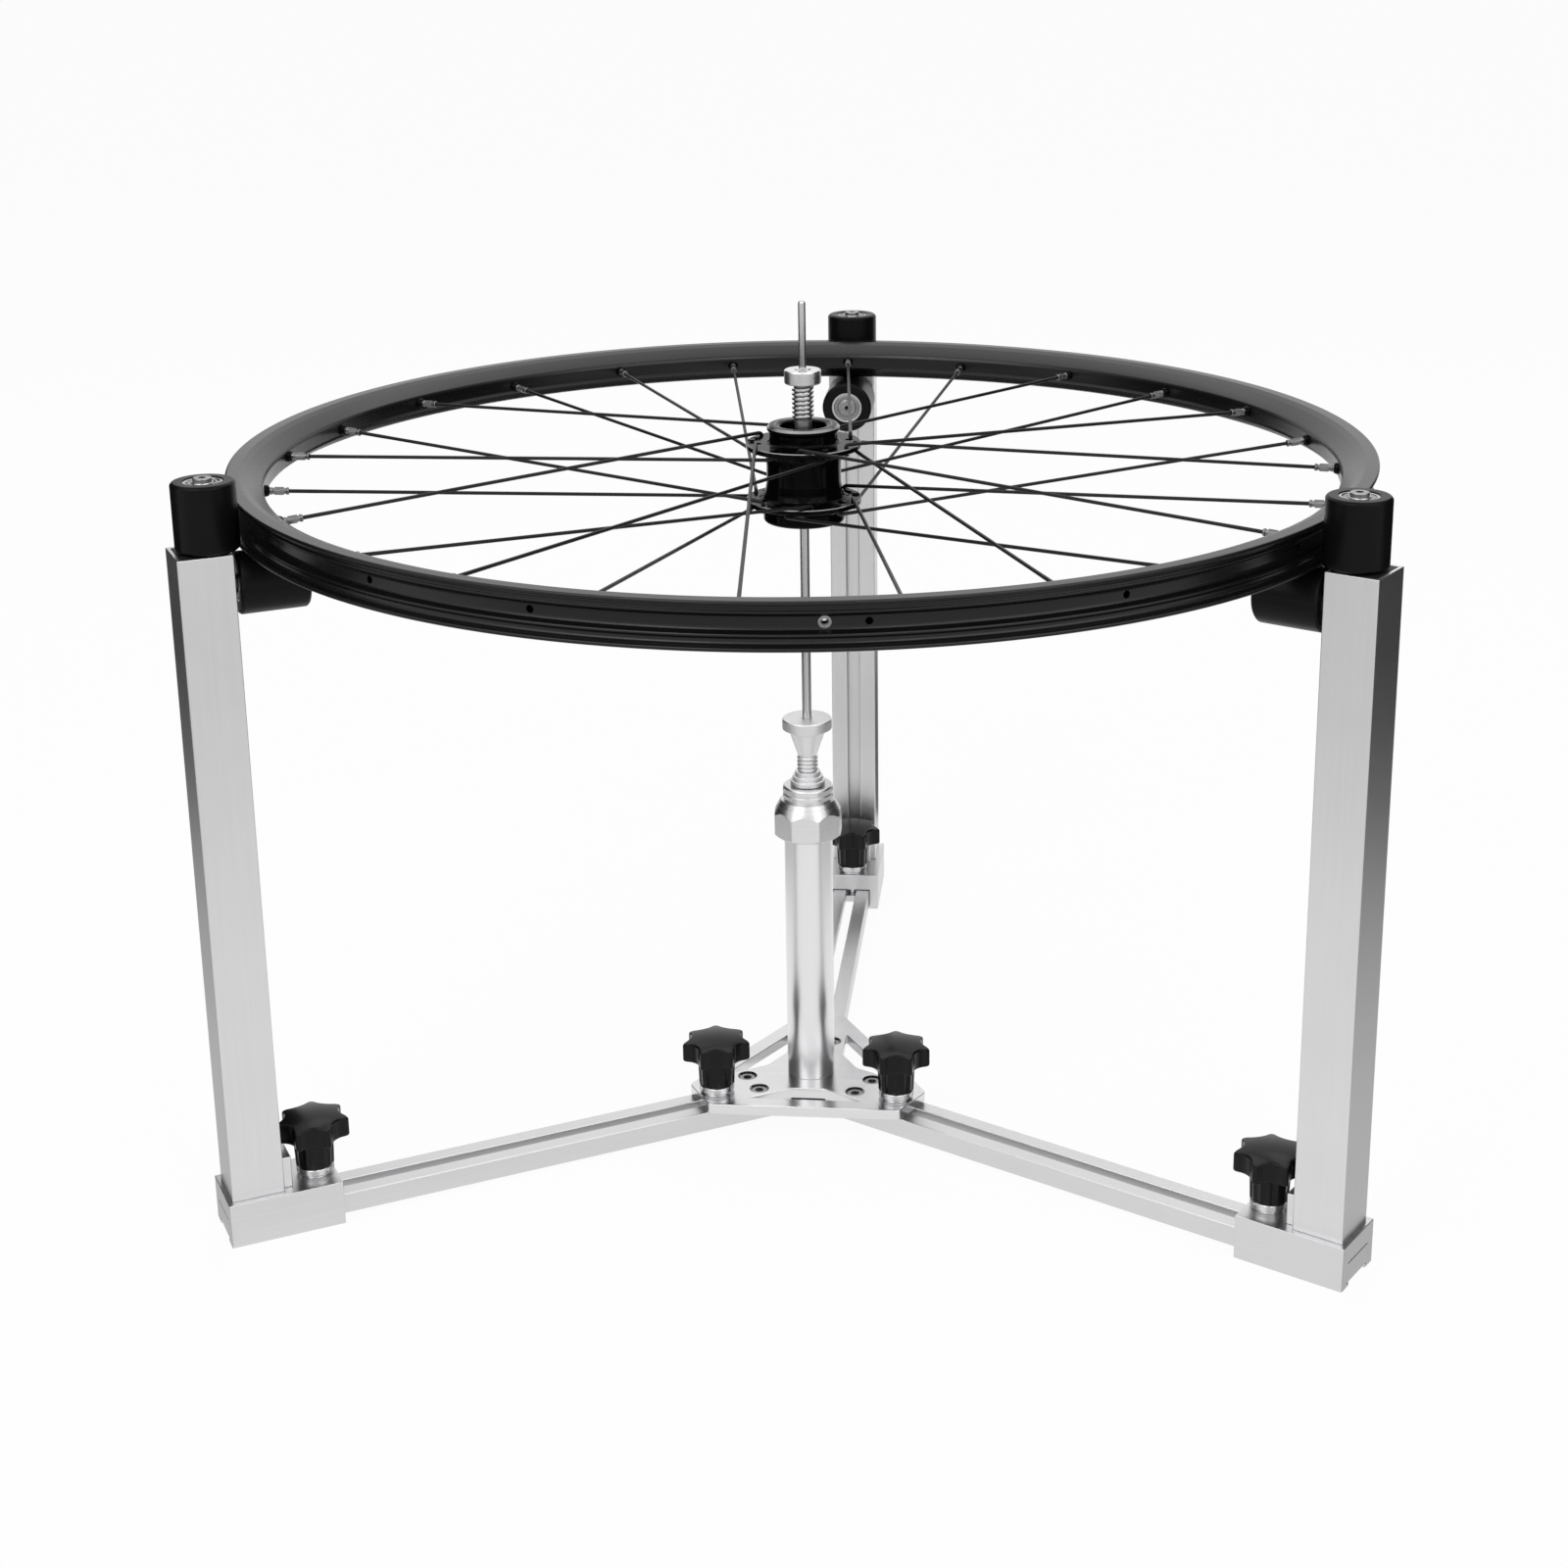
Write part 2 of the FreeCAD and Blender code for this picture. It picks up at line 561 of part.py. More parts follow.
def build():
    os.makedirs("parts", exist_ok=True)
    save("hub_plate", hub_plate())
    save("arm_screws", *arm_screws())
    save("column_tube", column_tube())
    save("column_bolt", column_bolt())
    save("centre_pad", centre_pad())
    save("plate_t_nuts", *[turned(tee_nut(PLATE_KNOB_AT), ARMS[n]) for n in ("left", "right")])
    save("collet_nut", collet_nut())
    save("support_spindle", support_spindle())
    save("centre_rod", centre_rod())
    save("hub_plug", hub_plug())
    save("hub_axle", hub_axle())
    save("hub_shell", hub_shell())
    save("hub_bearings", *hub_bearings())
    rim, spokes, nipples = wheel_parts()
    save("rim", rim)
    save("spokes", *spokes)
    save("nipples", *nipples)
    stud_low = ARM_LOW + 0.3
    side_high = SIDE_LOW + ROLLER_LONG
    upright = to_side(axle(POST_TOP, SIDE_LOW, side_high, AXLE_FOOT))
    flat = to_rim(axle(-POST_IN, -RIM_ROLLER_OUT, -RIM_ROLLER_IN, -AXLE_DEEP))
    for name, a in ARMS.items():
        save("arm_" + name, turned(arm(), a))
        save("slide_block_" + name, turned(slide_block(), a))
        save("post_" + name, turned(post(), a))
        save("post_insert_" + name, turned(post_insert(), a))
        save("foot_bracket_" + name, turned(foot_bracket(), a))
        save("roller_axles_" + name, turned(upright, a), turned(flat, a))
        save("t_nut_" + name, turned(tee_nut(KNOB_AT), a))
        save("side_roller_" + name, turned(to_side(sleeve(SIDE_LOW, side_high)), a))
        save("side_bearings_" + name, turned(to_side(bearings(SIDE_LOW, side_high)), a))
        save("rim_roller_" + name, turned(to_rim(sleeve(-RIM_ROLLER_OUT, -RIM_ROLLER_IN)), a))
        save("rim_bearings_" + name, turned(to_rim(bearings(-RIM_ROLLER_OUT, -RIM_ROLLER_IN)), a))
        save("block_knob_" + name, turned(moved(knob_head(BLOCK_TALL + COLLAR_TALL), KNOB_AT), a))
        save("block_stud_" + name, turned(moved(stud(BLOCK_TALL, stud_low), KNOB_AT), a))
    for name in ("left", "right"):
        a = ARMS[name]
        save("plate_knob_" + name, turned(moved(knob_head(PLATE_TOP + COLLAR_TALL), PLATE_KNOB_AT), a))
        save("plate_stud_" + name, turned(moved(stud(PLATE_TOP, stud_low), PLATE_KNOB_AT), a))


build()
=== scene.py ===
"""The look of the bicycle wheel truing stand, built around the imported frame.

Shapes are drawn in millimetres, each in its piece's own frame, and moved into place when the piece
is made. That frame is kept on the mesh as the attribute "grain", so that a brushed or turned finish
follows the piece. The wheel's axis is x = y = 0, and heights are above the floor.
"""
import json
import math

import bmesh
import bpy
from mathutils import Matrix, Vector
from mathutils.geometry import tessellate_polygon

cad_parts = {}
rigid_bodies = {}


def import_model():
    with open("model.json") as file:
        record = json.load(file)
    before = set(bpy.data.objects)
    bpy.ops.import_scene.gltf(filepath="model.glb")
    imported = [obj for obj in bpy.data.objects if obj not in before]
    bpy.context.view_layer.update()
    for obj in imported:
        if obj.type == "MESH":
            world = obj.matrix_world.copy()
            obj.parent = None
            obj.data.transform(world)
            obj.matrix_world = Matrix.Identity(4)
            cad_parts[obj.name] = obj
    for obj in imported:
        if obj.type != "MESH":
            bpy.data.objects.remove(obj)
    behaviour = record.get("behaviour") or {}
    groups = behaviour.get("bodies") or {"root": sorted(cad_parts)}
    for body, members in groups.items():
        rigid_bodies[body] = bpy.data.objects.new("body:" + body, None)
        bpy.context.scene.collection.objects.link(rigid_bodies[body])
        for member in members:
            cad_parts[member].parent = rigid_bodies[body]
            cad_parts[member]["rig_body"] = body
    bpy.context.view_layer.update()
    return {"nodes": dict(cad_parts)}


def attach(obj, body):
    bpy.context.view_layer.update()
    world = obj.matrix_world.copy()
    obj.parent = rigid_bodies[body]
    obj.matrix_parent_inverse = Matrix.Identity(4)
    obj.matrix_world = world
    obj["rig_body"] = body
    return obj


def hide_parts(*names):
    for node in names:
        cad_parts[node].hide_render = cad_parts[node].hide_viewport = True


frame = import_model()

# ---------------- sizes of the stand, in millimetres ----------------
ARMS = {"back": 90.0, "left": 210.0, "right": 330.0}  # the arms' directions, in degrees

PLATE_TOP = 19.3
PLATE_REACH = 69.0  # from the middle to the plate's cut-off corners
CORNER_HALF = 13.5  # half the width of a cut-off corner
SCREW_AT = 36.0  # the arm screws, along the arm
SCREW_SIDE = 8.5  # and to each side of its middle

ARM_LOW = 2.3
ARM_TOP = 13.3
ARM_WIDE = 24.0
ARM_IN = 18.0
ARM_SLOT = 6.5
TEE_WIDE = 12.5
TEE_TALL = 5.5
SLOT_IN = 47.0
SLOT_OUT = 324.5

COLUMN_R = 13.3
COLUMN_BORE = 8.0
BORE_FOOT = 42.0
BOLT_R = 5.0
NUT_LOW = 163.5
NUT_TOP = 184.5
SPINDLE_STEP = NUT_TOP + 8.5

RIM_R = 298.0
RIM_LOW = 362.0
RIM_TOP = 384.5
RIM_MID = (RIM_LOW + RIM_TOP) / 2
INNER_WALL = 280.0
BED = RIM_R - 7.4
VALVE_HOLE = (277.5, 2.6)  # direction in degrees and radius
RIM_HOLES = (VALVE_HOLE, (281.2, 1.7), (234.0, 1.8), (252.0, 1.8), (304.5, 1.8), (327.5, 1.8))
HUB_TOP = 394.7
HUB_LOW = 342.5
HUB_MOUTH = 12.2
BEARING_SEAT = 11.0
AXLE_STEP = 366.0
FLANGE_LOW = RIM_LOW - 10.0
FLANGE_HIGH = RIM_LOW + 20.0
FLANGE_THICK = 3.0
SPOKES = 24
SPOKE_HOLES_AT = 27.5
SPOKE_TURN = 60.0  # degrees round the wheel from a spoke's head to its nipple

POST_TOP = 364.0
POST_IN = 304.5
POST_OUT = 331.5
POST_ACROSS = 29.0
POST_WALL = 2.0
POST_SLOT = 8.0
POST_WEB = 5.0
ROLLER_R = 15.5
ROLLER_LONG = 34.0
BEARING_R = 9.5
BEARING_INSET = 0.5
SIDE_AXIS = 313.8
SIDE_LOW = POST_TOP + 0.5
RIM_AXIS = RIM_LOW - 0.3 - ROLLER_R
RIM_ROLLER_OUT = POST_IN - 2.3
INSERT_LOW = RIM_AXIS - 16.0

BLOCK_IN = 275.0
BLOCK_OUT = 334.0
BLOCK_ACROSS = 36.0
BLOCK_TALL = 24.0
KNOB_AT = 285.0
PLATE_KNOB_AT = 58.0
LOBES = 7
KNOB_STEPS = LOBES * 36
KNOB_R = 19.0
KNOB_EDGE = 1.1
SCALLOP_R = 9.7
SCALLOP_AT = 24.2
COLLAR_TALL = 5.0
TEE_NUT_HALF = 6.0

SCREW_EDGE = 0.45
ROUND_STEPS = 3


# ---------------- shapes ----------------
class Shape:
    """Points and faces in millimetres."""

    def __init__(self):
        self.points = []
        self.faces = []

    def ring(self, points):
        start = len(self.points)
        self.points += [tuple(p) for p in points]
        return list(range(start, len(self.points)))

    def bridge(self, *rings):
        """Faces from each closed ring to the next; a ring of one point is a pole."""
        for a, b in zip(rings, rings[1:]):
            n = max(len(a), len(b))
            for i in range(n):
                j = (i + 1) % n
                if len(a) == 1:
                    self.faces.append((a[0], b[j], b[i]))
                elif len(b) == 1:
                    self.faces.append((a[i], a[j], b[0]))
                else:
                    self.faces.append((a[i], a[j], b[j], b[i]))

    def cap(self, *rings):
        """A flat face bounded by the first ring, the others being holes in it."""
        loops = [[Vector(self.points[i]) for i in ring] for ring in rings]
        order = [i for ring in rings for i in ring]
        for tri in tessellate_polygon(loops):
            self.faces.append(tuple(order[i] for i in tri))

    def wall(self, loop, rows):
        """Joined rings of an outline at (inset, height) rows; gives back the first and last."""
        rings = [self.ring([(x, y, z) for x, y in offset(loop, inset)]) for inset, z in rows]
        self.bridge(*rings)
        return rings[0], rings[-1]

    def add(self, other, matrix=Matrix.Identity(4)):
        start = len(self.points)
        self.points += [tuple(matrix @ Vector(p)) for p in other.points]
        self.faces += [tuple(start + i for i in face) for face in other.faces]
        return self


def offset(loop, distance):
    """Moves an outline to its left, which is into the material."""
    if abs(distance) < 1e-9:
        return loop
    out = []
    for i, point in enumerate(loop):
        before, here, after = Vector(loop[i - 1]), Vector(point), Vector(loop[(i + 1) % len(loop)])
        u = (here - before).normalized()
        v = (after - here).normalized()
        side_u, side_v = Vector((-u.y, u.x)), Vector((-v.y, v.x))
        out.append(tuple(here + (side_u + side_v) * (distance / (1 + side_u.dot(side_v)))))
    return out


def curve(start, corner, end, t):
    """The point at t, from 0 to 1, of the arc that rounds a corner."""
    return start * (1 - t) ** 2 + corner * (2 * t * (1 - t)) + end * t ** 2


def rounded(points, radius, closed=False, steps=3):
    """The same line with its corners rounded, other than corners that are nearly straight."""
    out = []
    last = len(points) - 1
    for i, point in enumerate(points):
        if not closed and i in (0, last):
            out.append(tuple(point))
            continue
        here = Vector(point)
        u = Vector(points[i - 1]) - here
        v = Vector(points[(i + 1) % len(points)]) - here
        if u.angle(v) > math.radians(172):
            out.append(tuple(point))
            continue
        cut_back = min(radius, 0.45 * u.length, 0.45 * v.length)
        start, end = here + u.normalized() * cut_back, here + v.normalized() * cut_back
        out += [tuple(curve(start, here, end, k / steps)) for k in range(steps + 1)]
    return out


def lifted(base, *pairs):
    """(radius, height) pairs, the heights counted from a base."""
    return [(r, base + z) for r, z in pairs]


def round_rows(low, high, edge):
    """(inset, height) rows of an upright wall with both edges rounded."""
    rows = []
    for k in range(ROUND_STEPS + 1):
        a = math.radians(90) * k / ROUND_STEPS
        rows.append((edge * (1 - math.sin(a)), low + edge * (1 - math.cos(a))))
    return rows + [(inset, low + high - z) for inset, z in reversed(rows)]


def circle(radius, x=0.0, y=0.0, count=32, clockwise=False):
    way = -1 if clockwise else 1
    angles = [math.tau * k / count for k in range(count)]
    return [(x + radius * math.cos(a), y + way * radius * math.sin(a)) for a in angles]


def rectangle(x0, x1, y0, y1, radius, clockwise=False):
    loop = rounded([(x0, y0), (x1, y0), (x1, y1), (x0, y1)], radius, True, 5)
    return loop[::-1] if clockwise else loop


def slab(outline, low, high, edge):
    """An upright prism with rounded edges."""
    shape = Shape()
    for end in shape.wall(outline, round_rows(low, high, edge)):
        shape.cap(end)
    return shape


def swept(sections, closed=False):
    """A shape round the axis, from the (radius, height) pairs at each step of the turn."""
    shape = Shape()
    rings = []
    angles = [math.tau * k / len(sections) for k in range(len(sections))]
    for row in zip(*sections):
        if row[0][0] < 1e-6:
            row = row[:1]
        ring = [(r * math.cos(a), r * math.sin(a), z) for a, (r, z) in zip(angles, row)]
        rings.append(shape.ring(ring))
    shape.bridge(*rings, *rings[:1] if closed else ())
    return shape


def lathe(points, count=96, closed=False):
    """A turned shape from (radius, height) pairs."""
    return swept([points] * count, closed)


def thread(core, crest, pitch, low, high, count):
    """A helical ridge round a core, fading out to nothing at both ends."""
    shape = Shape()
    profile = ((0.0, -0.4), (0.9, -0.22), (1.0, 0.0), (0.9, 0.22), (0.0, 0.4))
    fade_steps = 0.4 * count
    sunk = 0.15
    total = int((high - low) / pitch * count)
    rows = []
    for i in range(total + 1):
        a = math.tau * i / count
        fade = min(1.0, i / fade_steps, (total - i) / fade_steps)
        z = low + pitch * i / count
        row = []
        for rise, along in profile:
            r = core - sunk + (crest - core + sunk) * rise * fade
            row.append((r * math.cos(a), r * math.sin(a), z + along * pitch))
        rows.append(shape.ring(row))
    shape.bridge(*rows)
    return shape


def tube_along(path, radii, count):
    """A round bar along points, with a radius at each."""
    shape = Shape()
    rings = []
    side = None
    angles = [math.tau * k / count for k in range(count)]
    for i, point in enumerate(path):
        ahead = path[min(i + 1, len(path) - 1)] - path[max(i - 1, 0)]
        ahead.normalize()
        if side is None:
            side = ahead.orthogonal().normalized()
        side = (side - ahead * side.dot(ahead)).normalized()
        other = ahead.cross(side)
        rings.append(shape.ring(
            [point + (side * math.cos(a) + other * math.sin(a)) * radii[i] for a in angles]))
    shape.bridge(*rings)
    shape.cap(rings[0])
    shape.cap(rings[-1])
    return shape


def hex_screw(radius, low, high, across, depth):
    """A screw head with a hexagon socket in its top."""
    shape = Shape()
    top_rows = round_rows(low, high, SCREW_EDGE)[ROUND_STEPS + 1:]
    base, rim = shape.wall(circle(radius, count=48), [(0.0, low)] + top_rows)
    shape.cap(base)
    socket = circle(across / math.sqrt(3), count=6, clockwise=True)
    rows = [(-0.25, high), (0.0, high - 0.25), (0.0, high - depth)]
    mouth, seat = shape.wall(socket, rows)
    shape.cap(rim, mouth)
    shape.bridge(seat, shape.ring([(0, 0, high - depth - 0.5)]))
    return shape


def turn(angle):
    return Matrix.Rotation(math.radians(angle), 4, "Z")


def shift(x=0.0, y=0.0, z=0.0):
    return Matrix.Translation((x, y, z))


def facing(spot, direction, up):
    """Puts a shape's height along a direction, from a spot."""
    return Matrix.Translation(spot) @ direction.to_track_quat("Z", up).to_matrix().to_4x4()


# ---------------- making pieces ----------------
def mesh_of(shape):
    mesh = bpy.data.meshes.new("shape")
    mesh.from_pydata(shape.points, [], shape.faces)
    work = bmesh.new()
    work.from_mesh(mesh)
    bmesh.ops.remove_doubles(work, verts=work.verts, dist=1e-4)
    bmesh.ops.recalc_face_normals(work, faces=work.faces)
    work.to_mesh(mesh)
    work.free()
    return mesh


def joined(*meshes):
    work = bmesh.new()
    for mesh in meshes:
        work.from_mesh(mesh)
    out = bpy.data.meshes.new("joined")
    work.to_mesh(out)
    work.free()
    return out


def cut(mesh, tools):
    """The mesh less the tools, each a closed shape."""
    body = bpy.data.objects.new("body_to_cut", mesh)
    tool = bpy.data.objects.new("cutting_tool", joined(*[mesh_of(t) for t in tools]))
    for o in (body, tool):
        bpy.context.scene.collection.objects.link(o)
    modifier = body.modifiers.new("cut", "BOOLEAN")
    modifier.operation = "DIFFERENCE"
    modifier.solver = "MANIFOLD"
    modifier.object = tool
    ready = body.evaluated_get(bpy.context.evaluated_depsgraph_get())
    out = bpy.data.meshes.new_from_object(ready)
    for o in (body, tool):
        bpy.data.objects.remove(o)
    return out


def piece(name, shape, finish, node, matrix=Matrix.Identity(4), sharp=38.0):
    """Makes the object that stands for a CAD node, on that node's body.

    Edges that turn by more than the angle sharp, in degrees, stay sharp in the shading.
    """
    material, slot = FINISH[finish]
    mesh = mesh_of(shape) if isinstance(shape, Shape) else shape
    grain = mesh.attributes.new("grain", "FLOAT_VECTOR", "POINT")
    grain.data.foreach_set("vector", [c for v in mesh.vertices for c in v.co])
    mesh.transform(Matrix.Scale(0.001, 4) @ matrix)
    mesh.shade_smooth()
    mesh.set_sharp_from_angle(angle=math.radians(sharp))
    mesh.materials.clear()
    mesh.materials.append(material)
    mesh.name = name
    obj = bpy.data.objects.new(name, mesh)
    bpy.context.scene.collection.objects.link(obj)
    weighted = obj.modifiers.new("weighted", "WEIGHTED_NORMAL")
    weighted.keep_sharp = True
    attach(obj, frame["nodes"][node]["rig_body"])
    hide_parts(node)


# ---------------- finishes ----------------
LINES_ACROSS = 0.6  # the noise's scale per millimetre across brushed or turned lines
LINES_ALONG = 0.012  # and along them
CLOUDS = 0.035  # the scale of the wide, soft variation
CLOUD_SHARE = 0.35
NOISE_LOW, NOISE_HIGH = 0.3, 0.7  # what most of the noise lies between
RELIEF = 0.0001


def add_node(tree, kind, **values):
    """A new shader node, with values for the inputs of those names."""
    made = tree.nodes.new("ShaderNode" + kind)
    for name, value in values.items():
        made.inputs[name.replace("_", " ")].default_value = value
    return made


def computed(tree, operation, *values):
    """The output of a Math node on outputs and numbers."""
    made = add_node(tree, "Math")
    made.operation = operation
    for socket, value in zip(made.inputs, values):
        if isinstance(value, bpy.types.NodeSocket):
            tree.links.new(value, socket)
        else:
            socket.default_value = value
    return made.outputs[0]


def noise(tree, vector, scale, detail, rough=0.5):
    texture = add_node(tree, "TexNoise", Scale=scale, Detail=detail, Roughness=rough)
    tree.links.new(vector, texture.inputs["Vector"])
    return texture.outputs["Fac"]


def finish_nodes(name, level, metallic, rough, flow, vary=0.06, rough_vary=0.06, bump=0.15,
                 fine=None, specular=0.5):
    """A grey finish with lines and clouds in its colour and its roughness.

    The lines are rings where flow is "turned", follow the piece's axis of that number, or have no
    direction where it is None. The relief is the lines' own, or a speckle's of the scale fine.
    """
    material = bpy.data.materials.new(name)
    material.use_nodes = True
    tree = material.node_tree
    link = tree.links.new
    shader = tree.nodes["Principled BSDF"]
    shader.inputs["Metallic"].default_value = metallic
    shader.inputs["Specular IOR Level"].default_value = specular
    grain = add_node(tree, "Attribute")
    grain.attribute_name = "grain"
    place = grain.outputs["Vector"]
    if flow == "turned":
        split = add_node(tree, "SeparateXYZ")
        link(place, split.inputs[0])
        x, y, z = split.outputs
        squares = computed(tree, "MULTIPLY_ADD", y, y, computed(tree, "MULTIPLY", x, x))
        join = add_node(tree, "CombineXYZ")
        link(computed(tree, "SQRT", squares), join.inputs[0])
        link(z, join.inputs[1])
        flowing = join.outputs[0]
        scale = (LINES_ACROSS, LINES_ACROSS, 0.0)
    else:
        flowing = place
        scale = [LINES_ACROSS] * 3
        if flow is not None:
            scale[flow] = LINES_ALONG
    mapping = add_node(tree, "Mapping", Scale=scale)
    link(flowing, mapping.inputs["Vector"])
    lines = noise(tree, mapping.outputs[0], 1.0, 5.0, 0.65)
    blend = add_node(tree, "Mix")
    blend.data_type = "FLOAT"
    blend.inputs[0].default_value = CLOUD_SHARE
    link(lines, blend.inputs[2])
    link(noise(tree, place, CLOUDS, 3.0), blend.inputs[3])
    ramp = add_node(tree, "ValToRGB")
    base = (level, level, level * 1.01)
    for stop, at, change in zip(ramp.color_ramp.elements, (NOISE_LOW, NOISE_HIGH), (-vary, vary)):
        stop.position = at
        stop.color = [min(1.0, c * (1 + change)) for c in base] + [1]
    link(blend.outputs[0], ramp.inputs[0])
    link(ramp.outputs[0], shader.inputs["Base Color"])
    spread = add_node(tree, "MapRange", From_Min=NOISE_LOW, From_Max=NOISE_HIGH,
                      To_Min=rough - rough_vary, To_Max=rough + rough_vary)
    link(blend.outputs[0], spread.inputs["Value"])
    link(spread.outputs[0], shader.inputs["Roughness"])
    relief = add_node(tree, "Bump", Strength=bump, Distance=RELIEF)
    link(noise(tree, place, fine, 4.0) if fine else lines, relief.inputs["Height"])
    link(relief.outputs[0], shader.inputs["Normal"])
    return material


FINISHES = (
    # finish, material, slot, level, metallic, rough, flow, and what else it sets
    ("satin_up", "satin_upright", "satin_aluminium", 0.68, 1.0, 0.34, 2,
     dict(vary=0.03, rough_vary=0.02)),
    ("satin_along", "satin_along", "satin_aluminium", 0.65, 1.0, 0.34, 0,
     dict(vary=0.03, rough_vary=0.03)),
    ("plate", "polished_plate", "polished_plate", 0.72, 1.0, 0.22, 0, dict(vary=0.04)),
    ("bright", "bright_turned", "bright_aluminium", 0.72, 1.0, 0.3, "turned", dict(vary=0.05)),
    ("matt", "satin_turned", "bright_aluminium", 0.72, 1.0, 0.4, "turned", dict(vary=0.05)),
    ("column", "bright_drawn", "bright_aluminium", 0.8, 1.0, 0.31, 2,
     dict(vary=0.015, rough_vary=0.015, bump=0.04)),
    ("chrome", "thread_bright", "bright_aluminium", 0.72, 1.0, 0.14, "turned",
     dict(vary=0.03, rough_vary=0.02, bump=0.03)),
    # Painted shade: a darker copy of the bright steel for the screw heads, standing in for the
    # shade of their counterbores and sockets.
    ("head", "screw_head_painted_shade", "bright_steel", 0.3, 1.0, 0.28, "turned", {}),
    # Painted shade: a dark copy of the bright aluminium, for the shade in the plug's thread
    # grooves.
    ("groove", "thread_root", "bright_aluminium", 0.18, 1.0, 0.4, "turned", {}),
    ("rod", "ground_steel", "ground_steel", 0.55, 1.0, 0.16, 2, dict(vary=0.03)),
    ("steel", "bright_steel", "bright_steel", 0.56, 1.0, 0.2, "turned", {}),
    ("bearing", "bearing_steel", "bearing_steel", 0.55, 1.0, 0.22, "turned", {}),
    ("shield", "bearing_shield", "bearing_steel", 0.26, 1.0, 0.3, "turned", {}),
    ("plastic", "knob_plastic", "knob_plastic", 0.005, 0.0, 0.2, None,
     dict(fine=1.6, bump=0.06, vary=0.15, rough_vary=0.03, specular=0.17)),
    ("roller", "roller_black", "roller_black", 0.004, 0.0, 0.32, "turned",
     dict(vary=0.2, specular=0.1)),
    ("insert", "insert_black", "insert_black", 0.012, 0.0, 0.5, None,
     dict(fine=2.0, specular=0.2)),
    ("rim", "rim_black", "rim_black", 0.004, 0.0, 0.27, "turned",
     dict(vary=0.1, rough_vary=0.02, bump=0.04, specular=0.33)),
    ("hub", "hub_black", "hub_black", 0.0015, 0.0, 0.13, "turned",
     dict(vary=0.2, specular=0.055, rough_vary=0.03, bump=0.05)),
    # Painted highlight: a bright metal copy of the hub's black, for thin rings along its edges
    # where light catches.
    ("hub_edge", "hub_edge_painted_highlight", "hub_black", 0.32, 1.0, 0.3, "turned", {}),
    ("spoke", "spoke_black", "spoke_black", 0.008, 0.0, 0.35, None,
     dict(vary=0.2, specular=0.2)),
    ("nipple", "nipple_silver", "nipple_silver", 0.17, 1.0, 0.3, None, {}),
    ("rubber", "pad_rubber", "pad_rubber", 0.03, 0.0, 0.8, None, dict(fine=0.8, vary=0.2)),
)
FINISH = {finish: (finish_nodes(material, *values, **others), slot)
          for finish, material, slot, *values, others in FINISHES}


# ---------------- hub plate, column and what stands on it ----------------
def plate_outline():
    points = [(turn(angle) @ Vector((PLATE_REACH, side * CORNER_HALF, 0)))[:2]
              for angle in ARMS.values() for side in (-1, 1)]
    return rounded(points, 2.6, True, 5)


def plate_window(angle):
    """A four-sided window between two arms, clockwise."""
    near, far, rib_half = 24.0, 36.8, 16.0
    near_half = near * math.sqrt(3) - 2 * rib_half
    far_half = far * math.sqrt(3) - 2 * rib_half
    corners = [(near, -near_half), (far, -far_half), (far, far_half), (near, near_half)]
    loop = rounded(corners, 2.0, True, 5)
    return [(turn(angle) @ Vector((x, y, 0)))[:2] for x, y in reversed(loop)]


SCREWS = [turn(angle) @ Vector((SCREW_AT, side * SCREW_SIDE, 0))
          for angle in ARMS.values() for side in (-1, 1)]


def hub_plate():
    """The plate with its windows and the counterbores for the arm screws."""
    shape = Shape()
    bore_r, bore_deep, bore_edge = 5.9, 3.5, 0.4
    rows = round_rows(ARM_TOP, PLATE_TOP, 0.5)
    outlines = [plate_outline()] + [plate_window(30 + 120 * k) for k in range(3)]
    feet, tops = map(list, zip(*[shape.wall(outline, rows) for outline in outlines]))
    bore_rows = [(0.0, PLATE_TOP - bore_deep), (0.0, PLATE_TOP - bore_edge),
                 (-bore_edge, PLATE_TOP)]
    for spot in SCREWS:
        foot, mouth = shape.wall(circle(bore_r, spot.x, spot.y, 40, True), bore_rows)
        shape.cap(foot)
        tops.append(mouth)
    shape.cap(*feet)
    shape.cap(*tops)
    piece("hub_plate_polished", shape, "plate", "hub_plate")


def arm_screws():
    """The heads in the counterbores, each turned differently, in a darker steel that is painted
    shade.
    """
    shape = Shape()
    head = hex_screw(radius=4.7, low=PLATE_TOP - 3.4, high=PLATE_TOP - 0.9, across=5.0, depth=2.3)
    for spot in SCREWS:
        shape.add(head, shift(spot.x, spot.y) @ turn(17 * spot.x))
    piece("arm_screw_heads", shape, "head", "arm_screws")


def column():
    """The tube, with a spigot inside the nut and a bore for the spindle and the bolt."""
    spigot_top = NUT_LOW + 17.5
    profile = [(BOLT_R, PLATE_TOP), (COLUMN_R - 0.2, PLATE_TOP), (COLUMN_R, PLATE_TOP + 0.2),
               (COLUMN_R, NUT_LOW - 0.9), (12.7, NUT_LOW - 0.3), (11.8, NUT_LOW - 0.3),
               (11.8, spigot_top), (COLUMN_BORE, spigot_top), (COLUMN_BORE, BORE_FOOT),
               (BOLT_R, BORE_FOOT)]
    tube = lathe(rounded(profile, 0.3, True), 128, True)
    piece("column_polished", tube, "column", "column_tube")


